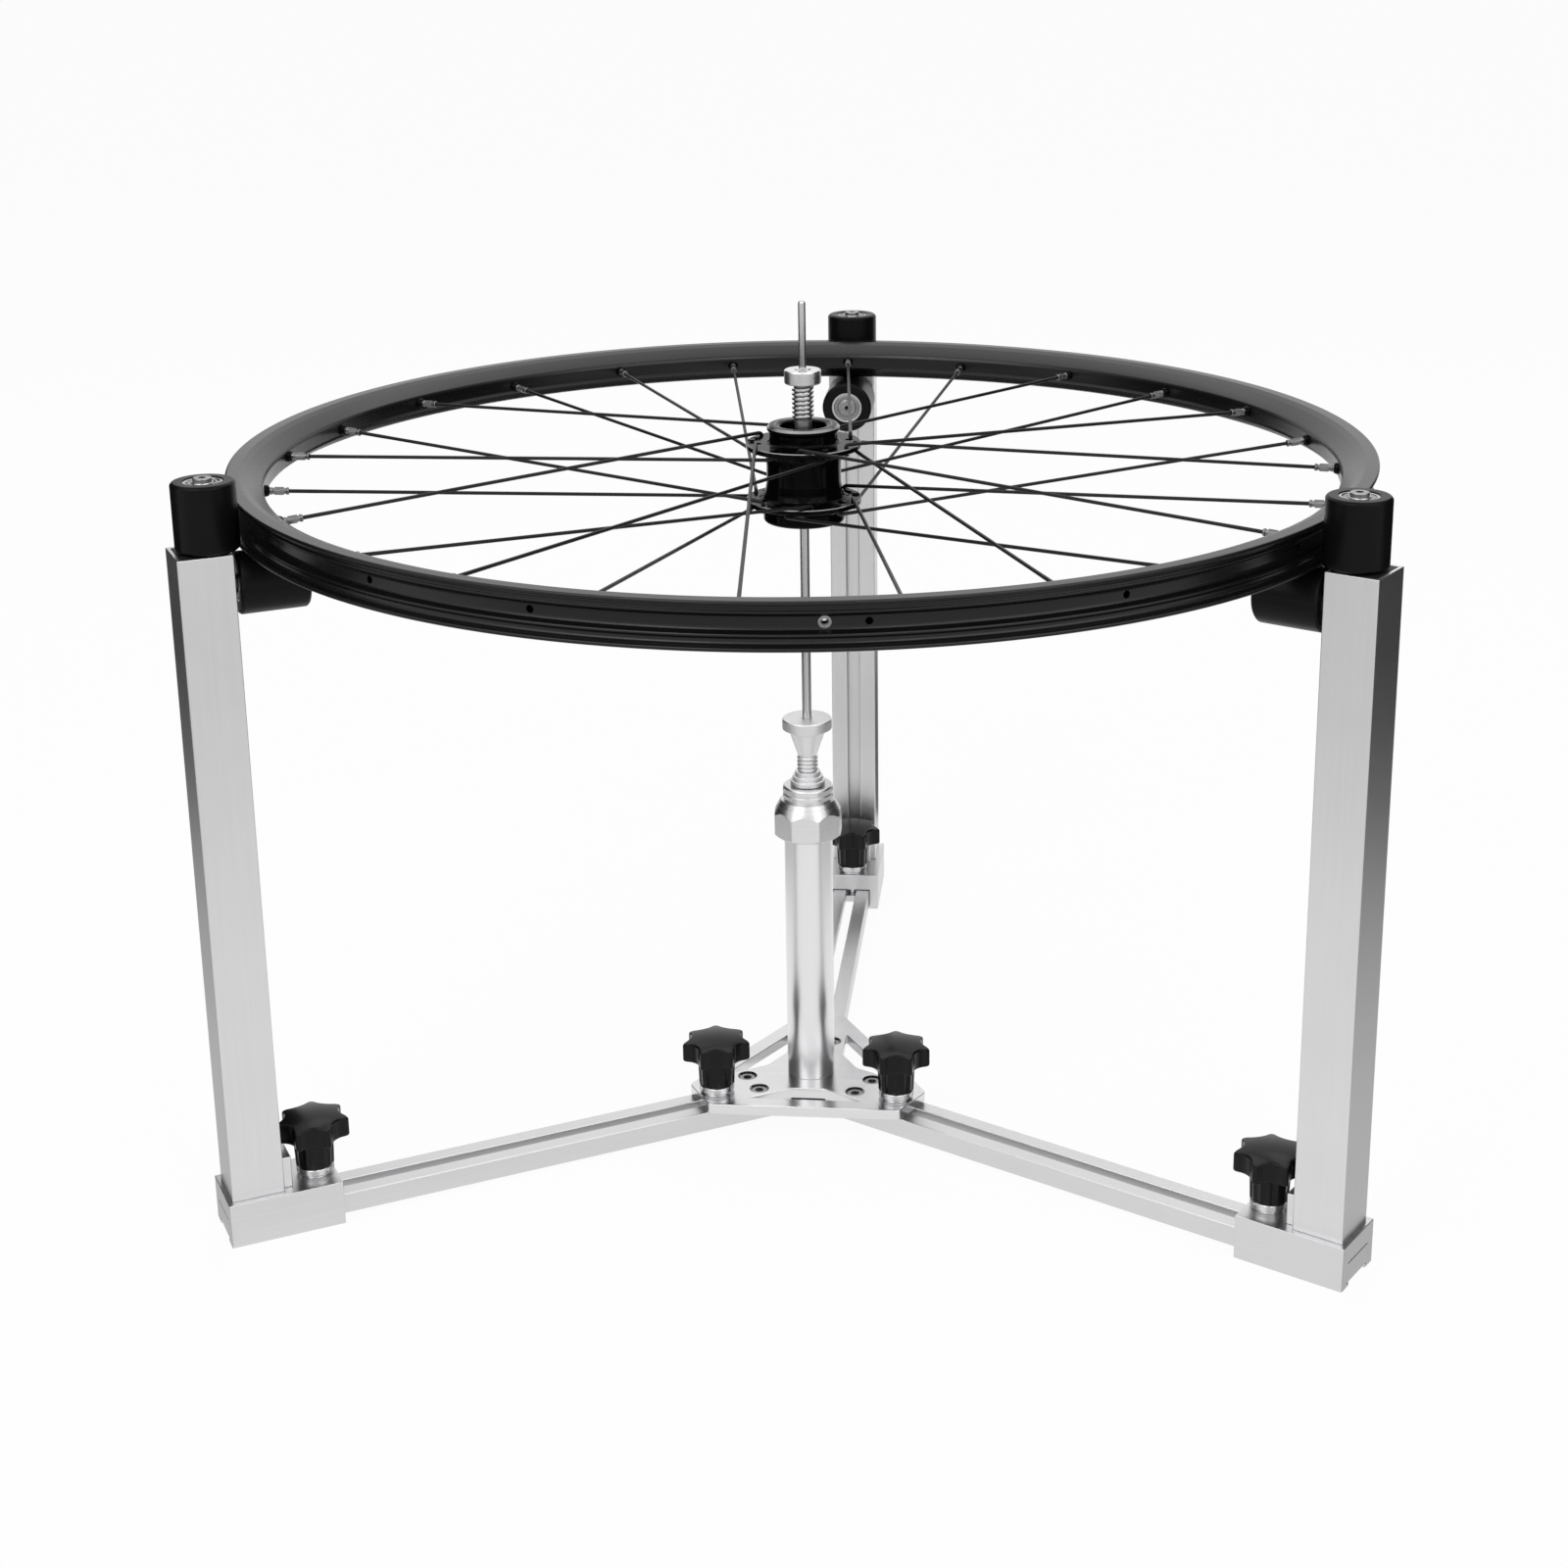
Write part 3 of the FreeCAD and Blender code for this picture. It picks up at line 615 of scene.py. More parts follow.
def collet_nut():
    """Eight flats between a bevel and a cone, and a grooved collar above."""
    corner, foot, shoulder, collar_r = 19.5, 17.2, 15.0, 13.2
    half_turn = math.radians(22.5)
    flat = corner * math.cos(half_turn)
    count = 8 * 24

    def cone(r):
        return r, NUT_TOP - (r - shoulder) * 8.5 / 4.5

    sections = []
    for k in range(count):
        off = (math.tau * k / count + half_turn) % (2 * half_turn) - half_turn
        r = min(flat / math.cos(off), corner - 0.35)
        bevel = NUT_LOW + (r - foot) * 0.75
        rows = [(12.4, NUT_LOW), (foot, NUT_LOW), (r, bevel), (r, bevel + 0.3),
                (r, cone(r)[1] - 0.25)]
        rows += [cone(shoulder + (r - 0.12 - shoulder) * t) for t in (1.0, 0.66, 0.33, 0.0)]
        sections.append(rows + [(collar_r, NUT_TOP)])
    collar = lifted(NUT_TOP, (collar_r, 0.0), (collar_r, 0.8), (13.7, 1.3), (13.7, 3.6),
                    (13.2, 3.9), (13.2, 4.3), (13.7, 4.6), (13.7, 7.4), (12.9, 8.2), (8.3, 8.2),
                    (8.3, -3.0), (12.4, -3.0)) + [(12.4, NUT_LOW)]
    shape = swept(sections).add(lathe(rounded(collar, 0.25), count))
    piece("collet_nut_faceted", shape, "bright", "collet_nut", sharp=24.0)


def spindle():
    """Upwards: the part inside the column, two steps, four rings, the cone and the disc."""
    foot, bore, pitch = 95.0, 2.6, 2.2
    profile = [(bore, foot), (7.0, foot), (7.95, foot + 1.0), (7.95, SPINDLE_STEP)]
    profile += lifted(SPINDLE_STEP, (9.6, 0.0), (9.6, 2.4), (8.4, 2.7), (8.4, 4.8), (7.0, 5.1),
                      (7.0, 7.4), (4.8, 7.8))
    z = SPINDLE_STEP + 7.8
    for _ in range(4):
        profile += lifted(z, (5.7, 0.5), (5.7, 1.5), (4.8, 2.0), (4.8, pitch))
        z += pitch
    cone = z + 0.2
    disc = cone + 15.3
    top = disc + 6.0
    profile += [(5.2, cone)]
    profile += lifted(disc, (9.6, -2.0), (10.6, -1.7), (10.6, -0.6), (13.5, 0.1))
    profile += lifted(top, (13.5, -0.6), (12.9, 0.0), (3.0, 0.0), (bore, -0.4))
    shape = lathe(rounded(profile, 0.35, True), 144, True)
    piece("spindle_turned", shape, "matt", "support_spindle")


def rod():
    foot, step, top = 110.0, 352.0, 460.0
    profile = [(0, foot), (2.2, foot), (2.5, foot + 0.4), (2.5, step), (2.0, step + 0.6)]
    profile += lifted(top, (2.0, -1.8), (1.8, -0.8), (1.3, -0.2), (0.7, 0.0), (0, 0.0))
    piece("centre_rod_ground", lathe(profile, 40), "rod", "centre_rod")


def plug():
    """The plug's body, its thread's ridge, and a dark core between the ridge's turns, whose
    darkness is painted shade in the thread's grooves.
    """
    foot, core = 366.2, 4.6
    thread_low, head = HUB_TOP + 3.3, HUB_TOP + 21.6
    body = lifted(foot, (2.8, 0.0), (5.4, 0.0), (5.95, 0.6))
    body += lifted(HUB_TOP, (5.95, -8.8), (core, -8.0))
    body += lifted(head, (core, 0.0), (9.2, 0.0), (9.75, 0.5), (9.75, 6.8), (9.2, 7.5), (core, 7.5),
                   (2.6, 5.0), (2.2, 4.5))
    piece("plug_turned", lathe(rounded(body, 0.3)), "bright", "hub_plug")
    ridge = thread(core=4.9, crest=5.9, pitch=2.4, low=thread_low - 0.6, high=head - 0.8, count=64)
    piece("plug_thread", ridge, "chrome", "hub_plug")
    # Painted shade: the core between the thread's turns is a dark copy of the bright aluminium,
    # standing in for the shade in the grooves.
    root = [(4.5, thread_low - 1.2), (4.75, thread_low - 0.9), (4.75, head), (4.5, head)]
    piece("plug_thread_root", lathe(root, 64, True), "groove", "hub_plug")


# ---------------- wheel ----------------
def hub():
    """The shell with its drilled flanges, and thin rings of bright metal along its edges, which are
    painted highlights.
    """
    outline = lifted(HUB_LOW, (HUB_MOUTH, 0.0), (20.6, 0.0), (21.7, 1.2), (21.7, 6.3), (20.6, 7.4),
                     (19.6, 8.2))
    outline += lifted(FLANGE_LOW, (19.6, 0.0), (30.0, 0.0), (30.5, 0.5), (30.5, 2.5), (30.0, 3.0),
                      (23.6, 3.2), (21.8, 4.6), (20.6, 7.0), (19.8, 12.0))
    outline += lifted(FLANGE_HIGH, (19.7, -9.0), (20.2, -4.0), (21.6, -1.2), (24.0, 0.0),
                      (30.0, 0.0), (30.5, 0.5), (30.5, 2.5), (30.0, 3.0), (19.4, 3.0), (18.1, 4.2))
    outline += lifted(HUB_TOP, (17.8, -3.6), (19.3, -3.0), (19.3, -1.4), (18.0, -0.1), (15.2, 0.0),
                      (14.8, -0.35), (13.4, -0.35), (12.2, -1.0), (HUB_MOUTH, -6.7),
                      (BEARING_SEAT, -6.9), (9.2, -13.7))
    outline += lifted(HUB_LOW, (9.2, 9.5), (BEARING_SEAT, 2.6), (HUB_MOUTH, 2.5))
    body = mesh_of(lathe(rounded(outline, 0.7, True, 4), 192, True))
    tools = []
    step = 720.0 / SPOKES
    for z, start in ((FLANGE_LOW, 15.0), (FLANGE_HIGH, 0.0)):
        hole = slab(circle(1.35, SPOKE_HOLES_AT, 0, 20), z - 1, z + 4, 0.01)
        window = slab(circle(2.3, 24.6, 0, 28), z - 1, z + 4, 0.01)
        for k in range(SPOKES // 2):
            tools.append(Shape().add(hole, turn(start + step * k)))
        for k in range(SPOKES // 4):
            tools.append(Shape().add(window, turn(start + step / 2 + 2 * step * k)))
    piece("hub_shell_gloss", cut(body, tools), "hub", "hub_shell")
    # Painted highlight: thin bright metal rings along the flanges' rims and the mouth, standing in
    # for light caught on those edges.
    edges = Shape()
    for z in (FLANGE_LOW + FLANGE_THICK, FLANGE_HIGH + FLANGE_THICK):
        ring = lifted(z, (29.7, -0.3), (29.95, 0.02), (30.25, 0.0), (30.52, -0.3), (30.4, -0.6))
        edges.add(lathe(ring, 192, True))
    for ring in (lifted(HUB_TOP, (18.9, -1.3), (19.34, -1.35), (18.15, -0.06), (17.8, -0.3)),
                 lifted(HUB_TOP, (14.75, -0.5), (14.8, -0.3), (15.15, 0.02), (15.6, -0.1)),
                 lifted(HUB_LOW, (20.4, 7.1), (20.75, 7.32), (21.72, 6.4), (21.4, 6.3))):
        edges.add(lathe(ring, 160, True))
    piece("hub_edges_bare", edges, "hub_edge", "hub_shell")


def hub_inside():
    low = RIM_LOW - 18.0
    top = HUB_TOP - 7.2
    axle = [(3.0, low), (7.9, low), (8.5, low + 0.6), (8.5, top - 0.6), (7.9, top), (6.1, top),
            (6.1, AXLE_STEP), (3.0, AXLE_STEP)]
    piece("hub_axle_turned", lathe(rounded(axle, 0.3, True), 80, True), "steel", "hub_axle")
    shape = Shape()
    for z0, z1 in ((HUB_LOW + 2.5, HUB_LOW + 9.5), (HUB_TOP - 13.7, HUB_TOP - 6.7)):
        below = [(8.6, 0.0), (9.4, 0.0), (9.5, 0.3), (10.4, 0.3), (10.5, 0.0), (BEARING_SEAT, 0.0)]
        above = [(r, -z) for r, z in reversed(below)]
        shape.add(lathe(lifted(z0, *below) + lifted(z1, *above), 80, True))
    piece("hub_bearing_rings", shape, "bearing", "hub_bearings")


def mirrored(half):
    """The rim's upper half section, upside down for its lower half."""
    return [(r, RIM_LOW + RIM_TOP - z) for r, z in reversed(half)]


def rim_outline():
    """The rim's section: a rounded inner wall, side walls, hooked edges and the tyre bed."""
    inner = INNER_WALL - 1.0
    half = lifted(RIM_TOP, (inner + 0.1, -8.0), (inner + 0.9, -6.3), (inner + 4.5, -3.6),
                  (inner + 8.5, -1.3), (inner + 12.0, 0.0), (RIM_R - 0.7, 0.0), (RIM_R, -0.6),
                  (RIM_R, -1.6), (RIM_R - 0.7, -2.1), (RIM_R - 3.6, -2.5), (RIM_R - 4.4, -3.4),
                  (RIM_R - 4.6, -5.0), (RIM_R - 3.9, -5.8), (RIM_R - 4.2, -6.8),
                  (RIM_R - 6.8, -7.9), (BED, -9.0))
    return [(inner, RIM_MID)] + half + [(BED, RIM_MID)] + mirrored(half)


def rim_cavity():
    inner = INNER_WALL + 1.0
    half = lifted(RIM_TOP, (inner, -8.0), (inner + 3.5, -5.0), (inner + 9.0, -2.2),
                  (RIM_R - 7.0, -2.0), (RIM_R - 7.0, -6.4), (BED - 1.8, -8.6))
    return half + mirrored(half)


def spoke_paths():
    """Each spoke's points from its head to near the rim, its end there, and its direction."""
    out = []
    half = SPOKES // 2
    step = 360.0 / half
    rise, head_off = 3.2, 2.6  # of elbow and head, off the middle of the flange
    bend_before, bend_after = 1.9, 2.2
    for z, start, drop, lead in ((FLANGE_HIGH, 0.0, 0.6, 1), (FLANGE_LOW, step / 2, -0.6, 0)):
        mid = z + FLANGE_THICK / 2
        outward = 1 if drop > 0 else -1
        for k in range(half):
            way = 1 if k % 2 == lead else -1
            off = outward * way * rise
            side = Vector((0, 0, 1 if off > 0 else -1))
            at = start + step * k
            hole = turn(at) @ Vector((SPOKE_HOLES_AT, 0, mid))
            elbow = hole + Vector((0, 0, off))
            end = turn(at + way * SPOKE_TURN) @ Vector((INNER_WALL, 0, RIM_MID + drop))
            unit = (end - elbow).normalized()
            head = hole - side * head_off
            before, after = elbow - side * bend_before, elbow + unit * bend_after
            path = [head, head + side * 0.5, before]
            path += [curve(before, elbow, after, i / 6) for i in range(1, 6)]
            far = (end - elbow).length
            path += [elbow + unit * s
                     for s in (bend_after, 12.0, 20.0, far - 34.0, far - 26.0, far - 8.0)]
            out.append((path, end, unit))
    return out


def nipple():
    """A nipple on its own axis, the rim's inner wall at height nought and the spoke below."""
    profile = [(1.0, -13.0), (1.6, -13.0), (1.9, -12.7), (1.9, -11.9), (1.55, -11.5), (1.6, -5.0),
               (1.9, -4.6), (1.9, 1.7), (2.8, 1.8), (2.8, 2.6), (2.3, 3.5), (1.0, 3.6)]
    flats = slab([(1.5, -1.5), (1.5, 1.5), (-1.5, 1.5), (-1.5, -1.5)], -10.4, -5.6, 0.2)
    return lathe(rounded(profile, 0.15), 28).add(flats, turn(45))


def eyelet():
    profile = [(2.0, -3.1), (2.4, -3.1), (2.9, -2.2), (3.1, -1.2), (3.1, -0.6), (2.0, -0.6)]
    return lathe(rounded(profile, 0.2, True), 32, True)


def wheel():
    """The drilled rim, the spokes, their nipples and the eyelets."""
    shell = mesh_of(lathe(rounded(rim_outline(), 0.5, True, 3), 360, True))
    hollow = mesh_of(lathe(rim_cavity(), 360, True))
    hollow.flip_normals()
    all_spokes = spoke_paths()
    hole_r, drill_long = 2.5, 26.0
    head_r, spoke_r, thin_r = 1.9, 1.0, 0.94
    tools = [tube_along([end - unit * 5.0, end + unit * 4.5], [hole_r, hole_r], 20)
             for _, end, unit in all_spokes]
    for angle, r in RIM_HOLES:
        ahead = turn(angle) @ Vector((1, 0, 0))
        start = INNER_WALL - 4.0 if (angle, r) == VALVE_HOLE else BED - 3.0
        spot = ahead * start + Vector((0, 0, RIM_MID))
        tools.append(tube_along([spot, spot + ahead * drill_long], [r, r], 28))
    piece("rim_extrusion", cut(joined(shell, hollow), tools), "rim", "rim", sharp=30.0)
    spokes = Shape()
    nipples = Shape()
    eyelets = Shape()
    for path, end, unit in all_spokes:
        radii = [head_r] + [spoke_r] * (len(path) - 5) + [thin_r, thin_r, spoke_r, spoke_r]
        spokes.add(tube_along(path, radii, 14))
        place = facing(end, unit, "X")
        nipples.add(nipple(), place)
        eyelets.add(eyelet(), place)
    piece("spokes_bent", spokes, "spoke", "spokes", sharp=50.0)
    piece("nipples_flat_sided", nipples, "nipple", "nipples", sharp=30.0)
    piece("nipple_eyelets", eyelets, "hub", "rim")
    ring = [(1.5, -2.0), (2.55, -2.0), (2.55, 0.0), (2.9, 0.05), (2.9, 0.3), (1.9, 0.45),
            (1.5, 0.1)]
    ahead = turn(VALVE_HOLE[0]) @ Vector((1, 0, 0))
    place = facing(ahead * BED + Vector((0, 0, RIM_MID)), ahead, "Y")
    piece("valve_eyelet", lathe(rounded(ring, 0.1, True), 40, True), "shield", "rim", place)


# ---------------- arms, blocks and posts ----------------
def arm(name):
    """A flat bar with a T-slot."""
    shape = Shape()
    shelf = ARM_LOW + TEE_TALL
    outer = rectangle(ARM_IN, BLOCK_OUT, -ARM_WIDE / 2, ARM_WIDE / 2, 0.5)
    narrow = rectangle(SLOT_IN, SLOT_OUT, -ARM_SLOT / 2, ARM_SLOT / 2, 0.6, True)
    wide = rectangle(SLOT_IN, SLOT_OUT, -TEE_WIDE / 2, TEE_WIDE / 2, 0.6, True)
    low, high = shape.wall(outer, round_rows(ARM_LOW, ARM_TOP, 0.45))
    rows = [(0.0, shelf), (0.0, ARM_TOP - 0.3), (0.3, ARM_TOP)]
    ledge_in, slot_top = shape.wall(narrow, rows)
    slot_low, ledge_out = shape.wall(wide, [(0.3, ARM_LOW), (0.0, ARM_LOW + 0.3), (0.0, shelf)])
    shape.cap(high, slot_top)
    shape.cap(low, slot_low)
    shape.cap(ledge_out[::-1], ledge_in)
    piece("arm_bar_" + name, shape, "satin_along", "arm_" + name, turn(ARMS[name]))


def slide_block(name):
    """A channel round the arm, with lips that hold it, drawn upright and laid along the arm."""
    half = BLOCK_ACROSS / 2
    inner = ARM_WIDE / 2 + 0.3
    lip = inner - 2.5
    roof = ARM_TOP + 0.3
    points = [(-half, 0), (-lip, 0), (-lip, 2.0), (-inner, 2.0), (-inner, roof), (inner, roof),
              (inner, 2.0), (lip, 2.0), (lip, 0), (half, 0), (half, BLOCK_TALL),
              (-half, BLOCK_TALL)]
    channel = slab(rounded(points, 0.35, True, 3), BLOCK_IN, BLOCK_OUT, 0.45)
    lay = Matrix(((0, 0, 1, 0), (1, 0, 0, 0), (0, 1, 0, 0), (0, 0, 0, 1)))
    piece("slide_block_body_" + name, Shape().add(channel, lay), "satin_along",
          "slide_block_" + name, turn(ARMS[name]))


def post(name):
    """A box section with a groove in its inner face, its insert and its foot bracket."""
    half = POST_ACROSS / 2
    wall = POST_WALL
    gap = POST_SLOT / 2
    place = turn(ARMS[name])
    points = [(POST_IN, -half), (POST_OUT, -half), (POST_OUT, half), (POST_IN, half),
              (POST_IN, gap), (POST_IN + wall, gap), (POST_IN + wall, half - wall),
              (POST_OUT - wall, half - wall), (POST_OUT - wall, -half + wall),
              (POST_IN + wall, -half + wall), (POST_IN + wall, -gap), (POST_IN, -gap)]
    shape = slab(rounded(points, 0.8, True, 4), BLOCK_TALL, POST_TOP, 0.35)
    web_in = POST_IN + POST_WEB
    web = rectangle(web_in, web_in + wall, -half + wall, half - wall, 0.1)
    shape.add(slab(web, BLOCK_TALL, INSERT_LOW, 0.05))
    piece("post_section_" + name, shape, "satin_up", "post_" + name, place)
    inner = rectangle(POST_IN + wall, POST_OUT - wall, -half + wall, half - wall, 0.4)
    insert = slab(inner, INSERT_LOW, POST_TOP - 0.05, 0.3)
    piece("post_insert_cast_" + name, insert, "insert", "post_insert_" + name, place)
    foot_top = BLOCK_TALL + 17.0
    foot = slab(rectangle(POST_IN - 5.0, POST_IN, -11.0, 11.0, 0.8), BLOCK_TALL, foot_top, 0.5)
    key = rectangle(POST_IN - 0.5, POST_IN + wall - 0.1, -gap + 0.1, gap - 0.1, 0.3)
    foot.add(slab(key, BLOCK_TALL, foot_top, 0.2))
    piece("foot_bracket_plate_" + name, foot, "satin_up", "foot_bracket_" + name, place)


def roller_parts(name, kind, place):
    """A roller's sleeve, two bearings and their shields, from height nought to ROLLER_LONG."""
    far = ROLLER_LONG
    chamfer, seat_deep, seat_r = 1.2, 6.5, 8.5
    sleeve = [(BEARING_R, 0), (ROLLER_R - chamfer, 0), (ROLLER_R, chamfer),
              (ROLLER_R, far - chamfer), (ROLLER_R - chamfer, far), (BEARING_R, far),
              (BEARING_R, far - seat_deep), (seat_r, far - seat_deep), (seat_r, seat_deep),
              (BEARING_R, seat_deep)]
    piece(f"{kind}_roller_sleeve_{name}", lathe(rounded(sleeve, 0.5, True), 112, True), "roller",
          f"{kind}_roller_{name}", place)
    outer = [(BEARING_R, 0.0), (8.2, 0.0), (8.0, 0.4), (8.0, 6.0), (BEARING_R, 6.0)]
    inner = [(5.3, 0.4), (5.1, 0.0), (3.1, 0.0), (3.1, 6.0), (5.3, 6.0)]
    shield = [(8.05, 0.5), (7.3, 0.25), (5.9, 0.3), (5.25, 0.6), (5.25, 1.2), (8.05, 1.2)]
    races = Shape()
    shields = Shape()
    for end, way in ((BEARING_INSET, 1), (far - BEARING_INSET, -1)):
        for shape, profile, edge, count in ((races, outer, 0.2, 88), (races, inner, 0.2, 72),
                                            (shields, shield, 0.15, 72)):
            points = [(r, end + way * z) for r, z in profile]
            shape.add(lathe(rounded(points, edge, True), count, True))
    node = f"{kind}_bearings_{name}"
    piece(f"{kind}_races_{name}", races, "bearing", node, place)
    piece(f"{kind}_shields_{name}", shields, "shield", node, place)


def axle_screw():
    """A roller's axle screw: shoulder, shank and socket head, the sleeve's near end at nought."""
    seat = ROLLER_LONG - BEARING_INSET + 0.1
    shank = [(5.0, -0.5), (5.0, 0.45), (3.0, 0.45), (3.0, seat), (0, seat)]
    head = hex_screw(radius=4.6, low=seat, high=seat + 1.9, across=4.0, depth=1.7)
    return head.add(lathe(rounded(shank, 0.15), 48))


def rollers(name):
    """The upright side roller, the lying rim roller, and the axle screws of both."""
    arm_turn = turn(ARMS[name])
    side_place = shift(SIDE_AXIS, 0, SIDE_LOW)
    rim_place = shift(RIM_ROLLER_OUT, 0, RIM_AXIS)
    lay = Matrix.Rotation(math.radians(-90), 4, "Y")
    roller_parts(name, "side", arm_turn @ side_place)
    roller_parts(name, "rim", arm_turn @ rim_place @ lay)
    screws = Shape()
    for place, socket_turn in ((side_place, 20), (rim_place @ lay, 45)):
        screws.add(axle_screw(), place @ turn(socket_turn))
    collar = [(3.0, -2.3), (5.0, -2.3), (5.0, 0.4), (3.0, 0.4)]
    screws.add(lathe(rounded(collar, 0.2, True), 48, True), rim_place @ lay)
    # Painted shade: the axle screws and collar take the darker copy of the steel, standing in for
    # shade in the rollers' ends.
    piece("axle_screws_" + name, screws, "head", "roller_axles_" + name, arm_turn)


# ---------------- knobs ----------------
def knob_radii():
    """The head's outline: wide scallops cut in a circle, the lobes' tips eased."""
    raw = []
    for k in range(KNOB_STEPS):
        a = math.tau * k / KNOB_STEPS
        off = (a + math.pi / LOBES) % (math.tau / LOBES) - math.pi / LOBES
        side = SCALLOP_AT * math.sin(off)
        r = KNOB_R
        if abs(side) < SCALLOP_R:
            r = min(r, SCALLOP_AT * math.cos(off) - math.sqrt(SCALLOP_R ** 2 - side * side))
        raw.append(r)
    return [sum(raw[(k + d) % KNOB_STEPS] for d in range(-2, 3)) / 5 for k in range(KNOB_STEPS)]


def dome(r):
    """A point of the head's crowned top."""
    return r, 25.6 + 2.8 * (1 - (r / KNOB_R) ** 2)


def knob_head():
    """A lobed knob on a fluted neck, the neck's foot at height nought."""
    sections = []
    for k, tip in enumerate(knob_radii()):
        neck = 10.0 - 0.6 * abs(math.sin(LOBES * math.tau * k / KNOB_STEPS))
        rows = [(3.2, 0.0), (neck - 0.7, 0.0), (neck - 0.2, 0.25), (neck, 0.9)]
        rows += [(neck + 0.5 * t, 0.9 + 12.9 * t) for t in (0.25, 0.5, 0.75, 1.0)]
        rows += [((neck + 0.5) * (1 - t) + (tip - 1.2) * t, z)
                 for t, z in ((0.12, 14.8), (0.35, 15.3), (0.7, 15.5))]
        rows += [(tip - inset, z) for inset, z in ((1.2, 15.55), (0.45, 15.75), (0.1, 16.2),
                                                   (0.0, 16.9), (0.0, 20.0), (0.0, 23.5))]
        for step in range(7):
            a = math.radians(15 * step)
            r, z = dome(tip - KNOB_EDGE * (1 - math.cos(a)))
            rows.append((r, z - KNOB_EDGE * (1 - math.sin(a))))
        rows += [dome((tip - KNOB_EDGE) * s) for s in (0.9, 0.75, 0.6, 0.45, 0.3, 0.15, 0.0)]
        sections.append(rows)
    return swept(sections)


def knob(kind, name, at, base, start):
    """A knob's head, turned by start, and the steel collar and stud under it."""
    place = turn(ARMS[name]) @ shift(at, 0, 0)
    piece(f"{kind}_knob_lobed_{name}", knob_head(), "plastic", f"{kind}_knob_{name}",
          place @ shift(0, 0, base + COLLAR_TALL) @ turn(start), 50.0)
    collar = lifted(base, (2.9, 0.0), (8.7, 0.0), (9.0, 0.3), (9.0, 1.2), (9.7, 1.7), (9.7, 4.5),
                    (9.3, COLLAR_TALL), (2.9, COLLAR_TALL))
    stud = lifted(ARM_LOW, (0, 0.3), (2.6, 0.3), (2.9, 0.7)) + [(2.9, base + 0.2)]
    shape = lathe(rounded(collar, 0.25, True), 96, True).add(lathe(rounded(stud, 0.1), 32))
    piece(f"{kind}_collar_{name}", shape, "steel", f"{kind}_stud_{name}", place)


# ---------------- hidden pieces ----------------
def tee_nut(at):
    half = TEE_NUT_HALF
    outline = rectangle(at - half, at + half, -half, half, 0.8)
    return slab(outline, ARM_LOW + 0.7, ARM_LOW + TEE_TALL - 0.3, 0.3)


def hidden_pieces():
    both = Shape()
    for name in ("left", "right"):
        both.add(tee_nut(PLATE_KNOB_AT), turn(ARMS[name]))
    piece("plate_tee_nuts", both, "steel", "plate_t_nuts")
    for name in ARMS:
        piece("tee_nut_" + name, tee_nut(KNOB_AT), "steel", "t_nut_" + name, turn(ARMS[name]))
    upside_down = Matrix.Rotation(math.radians(180), 4, "X")
    head = hex_screw(radius=9.0, low=0.0, high=8.0, across=8.0, depth=4.0)
    bolt = Shape().add(head, shift(0, 0, ARM_TOP) @ upside_down)
    shank = [(0, ARM_TOP - 0.5), (BOLT_R, ARM_TOP - 0.5), (BOLT_R, 38.6), (4.6, 39.0), (0, 39.0)]
    bolt.add(lathe(shank, 48))
    piece("column_bolt_head", bolt, "steel", "column_bolt")
    pad = rounded([(0, 0), (11.2, 0), (12, 0.8), (12, 5.3), (0, 5.3)], 0.4)
    piece("centre_pad_disc", lathe(pad, 64), "rubber", "centre_pad")


hub_plate()
arm_screws()
column()
collet_nut()
spindle()
rod()
plug()
hub()
hub_inside()
wheel()
for arm_name in ARMS:
    arm(arm_name)
    slide_block(arm_name)
    post(arm_name)
    rollers(arm_name)
for arm_name, knob_turn in (("back", 30.6), ("left", 27.0), ("right", 37.3)):
    knob("block", arm_name, KNOB_AT, BLOCK_TALL, knob_turn)
for arm_name, knob_turn in (("left", 16.9), ("right", 46.7)):
    knob("plate", arm_name, PLATE_KNOB_AT, PLATE_TOP, knob_turn)
hidden_pieces()

# ---------------- floor, light and camera, in metres ----------------
FLOOR_HALF = 30.0
FLOOR_COLOUR = 0.92
FLOOR_GLOW = 0.94  # the share of plain white in the floor that the eye and mirrors see
WORLD_LIGHT = 0.55
SIDE_CARD = ((1.1, -0.25), (0.75, 1.0), 1.1)  # near and far end on the right, and height
SIDE_CARD_SHADE = 0.02
SHEET_HEIGHT = 0.0004
FAN_STEPS = 12
RIGHT_SIDE = (-36.0, 48.0)  # the fans' first and last direction, in degrees
LEFT_SIDE = (128.0, 216.0)
FAN_START = 0.335
FAN_RINGS = ((0.48, 0.6), (0.6, 0.52), (0.72, 0.42), (0.84, 0.24), (1.15, 0.11))  # end, shade
FANS = (
    # name, first and last direction, near and far end, shade
    ("strip_right", -30.0, -14.0, 0.06, 0.26, 0.5),
    ("strip_left", 193.0, 209.0, 0.06, 0.26, 0.5),
    ("fan_back", 55.0, 125.0, 0.45, 0.95, 0.05),
    ("fan_front_left", 216.0, 270.0, 0.66, 1.7, 0.62),
    ("fan_front_right", 270.0, 324.0, 0.7, 1.7, 0.72),
)
LAMPS = (
    # name, place, height that it is aimed at, size, watts
    ("key", (-1.4, -1.9, 2.5), 0.2, 2.1, 24.0),
    ("fill", (1.7, -1.4, 1.9), 0.2, 1.8, 13.0),
    ("top", (0.0, 1.2, 2.3), 0.3, 1.8, 10.0),
    ("spark_left", (-0.7, -1.6, 2.2), 0.3, 0.35, 3.0),
    ("spark_right", (0.7, -1.6, 2.2), 0.3, 0.35, 3.0),
)
CAMERA_PLACE = (0.1339, -1.28868, 0.677488)
CAMERA_AIM, CAMERA_PITCH, CAMERA_ROLL = 0.09109, 0.29149, -0.00927  # in radians
CAMERA_LENS = 57.611
CAMERA_SHIFT = (-0.03288, -0.10724)


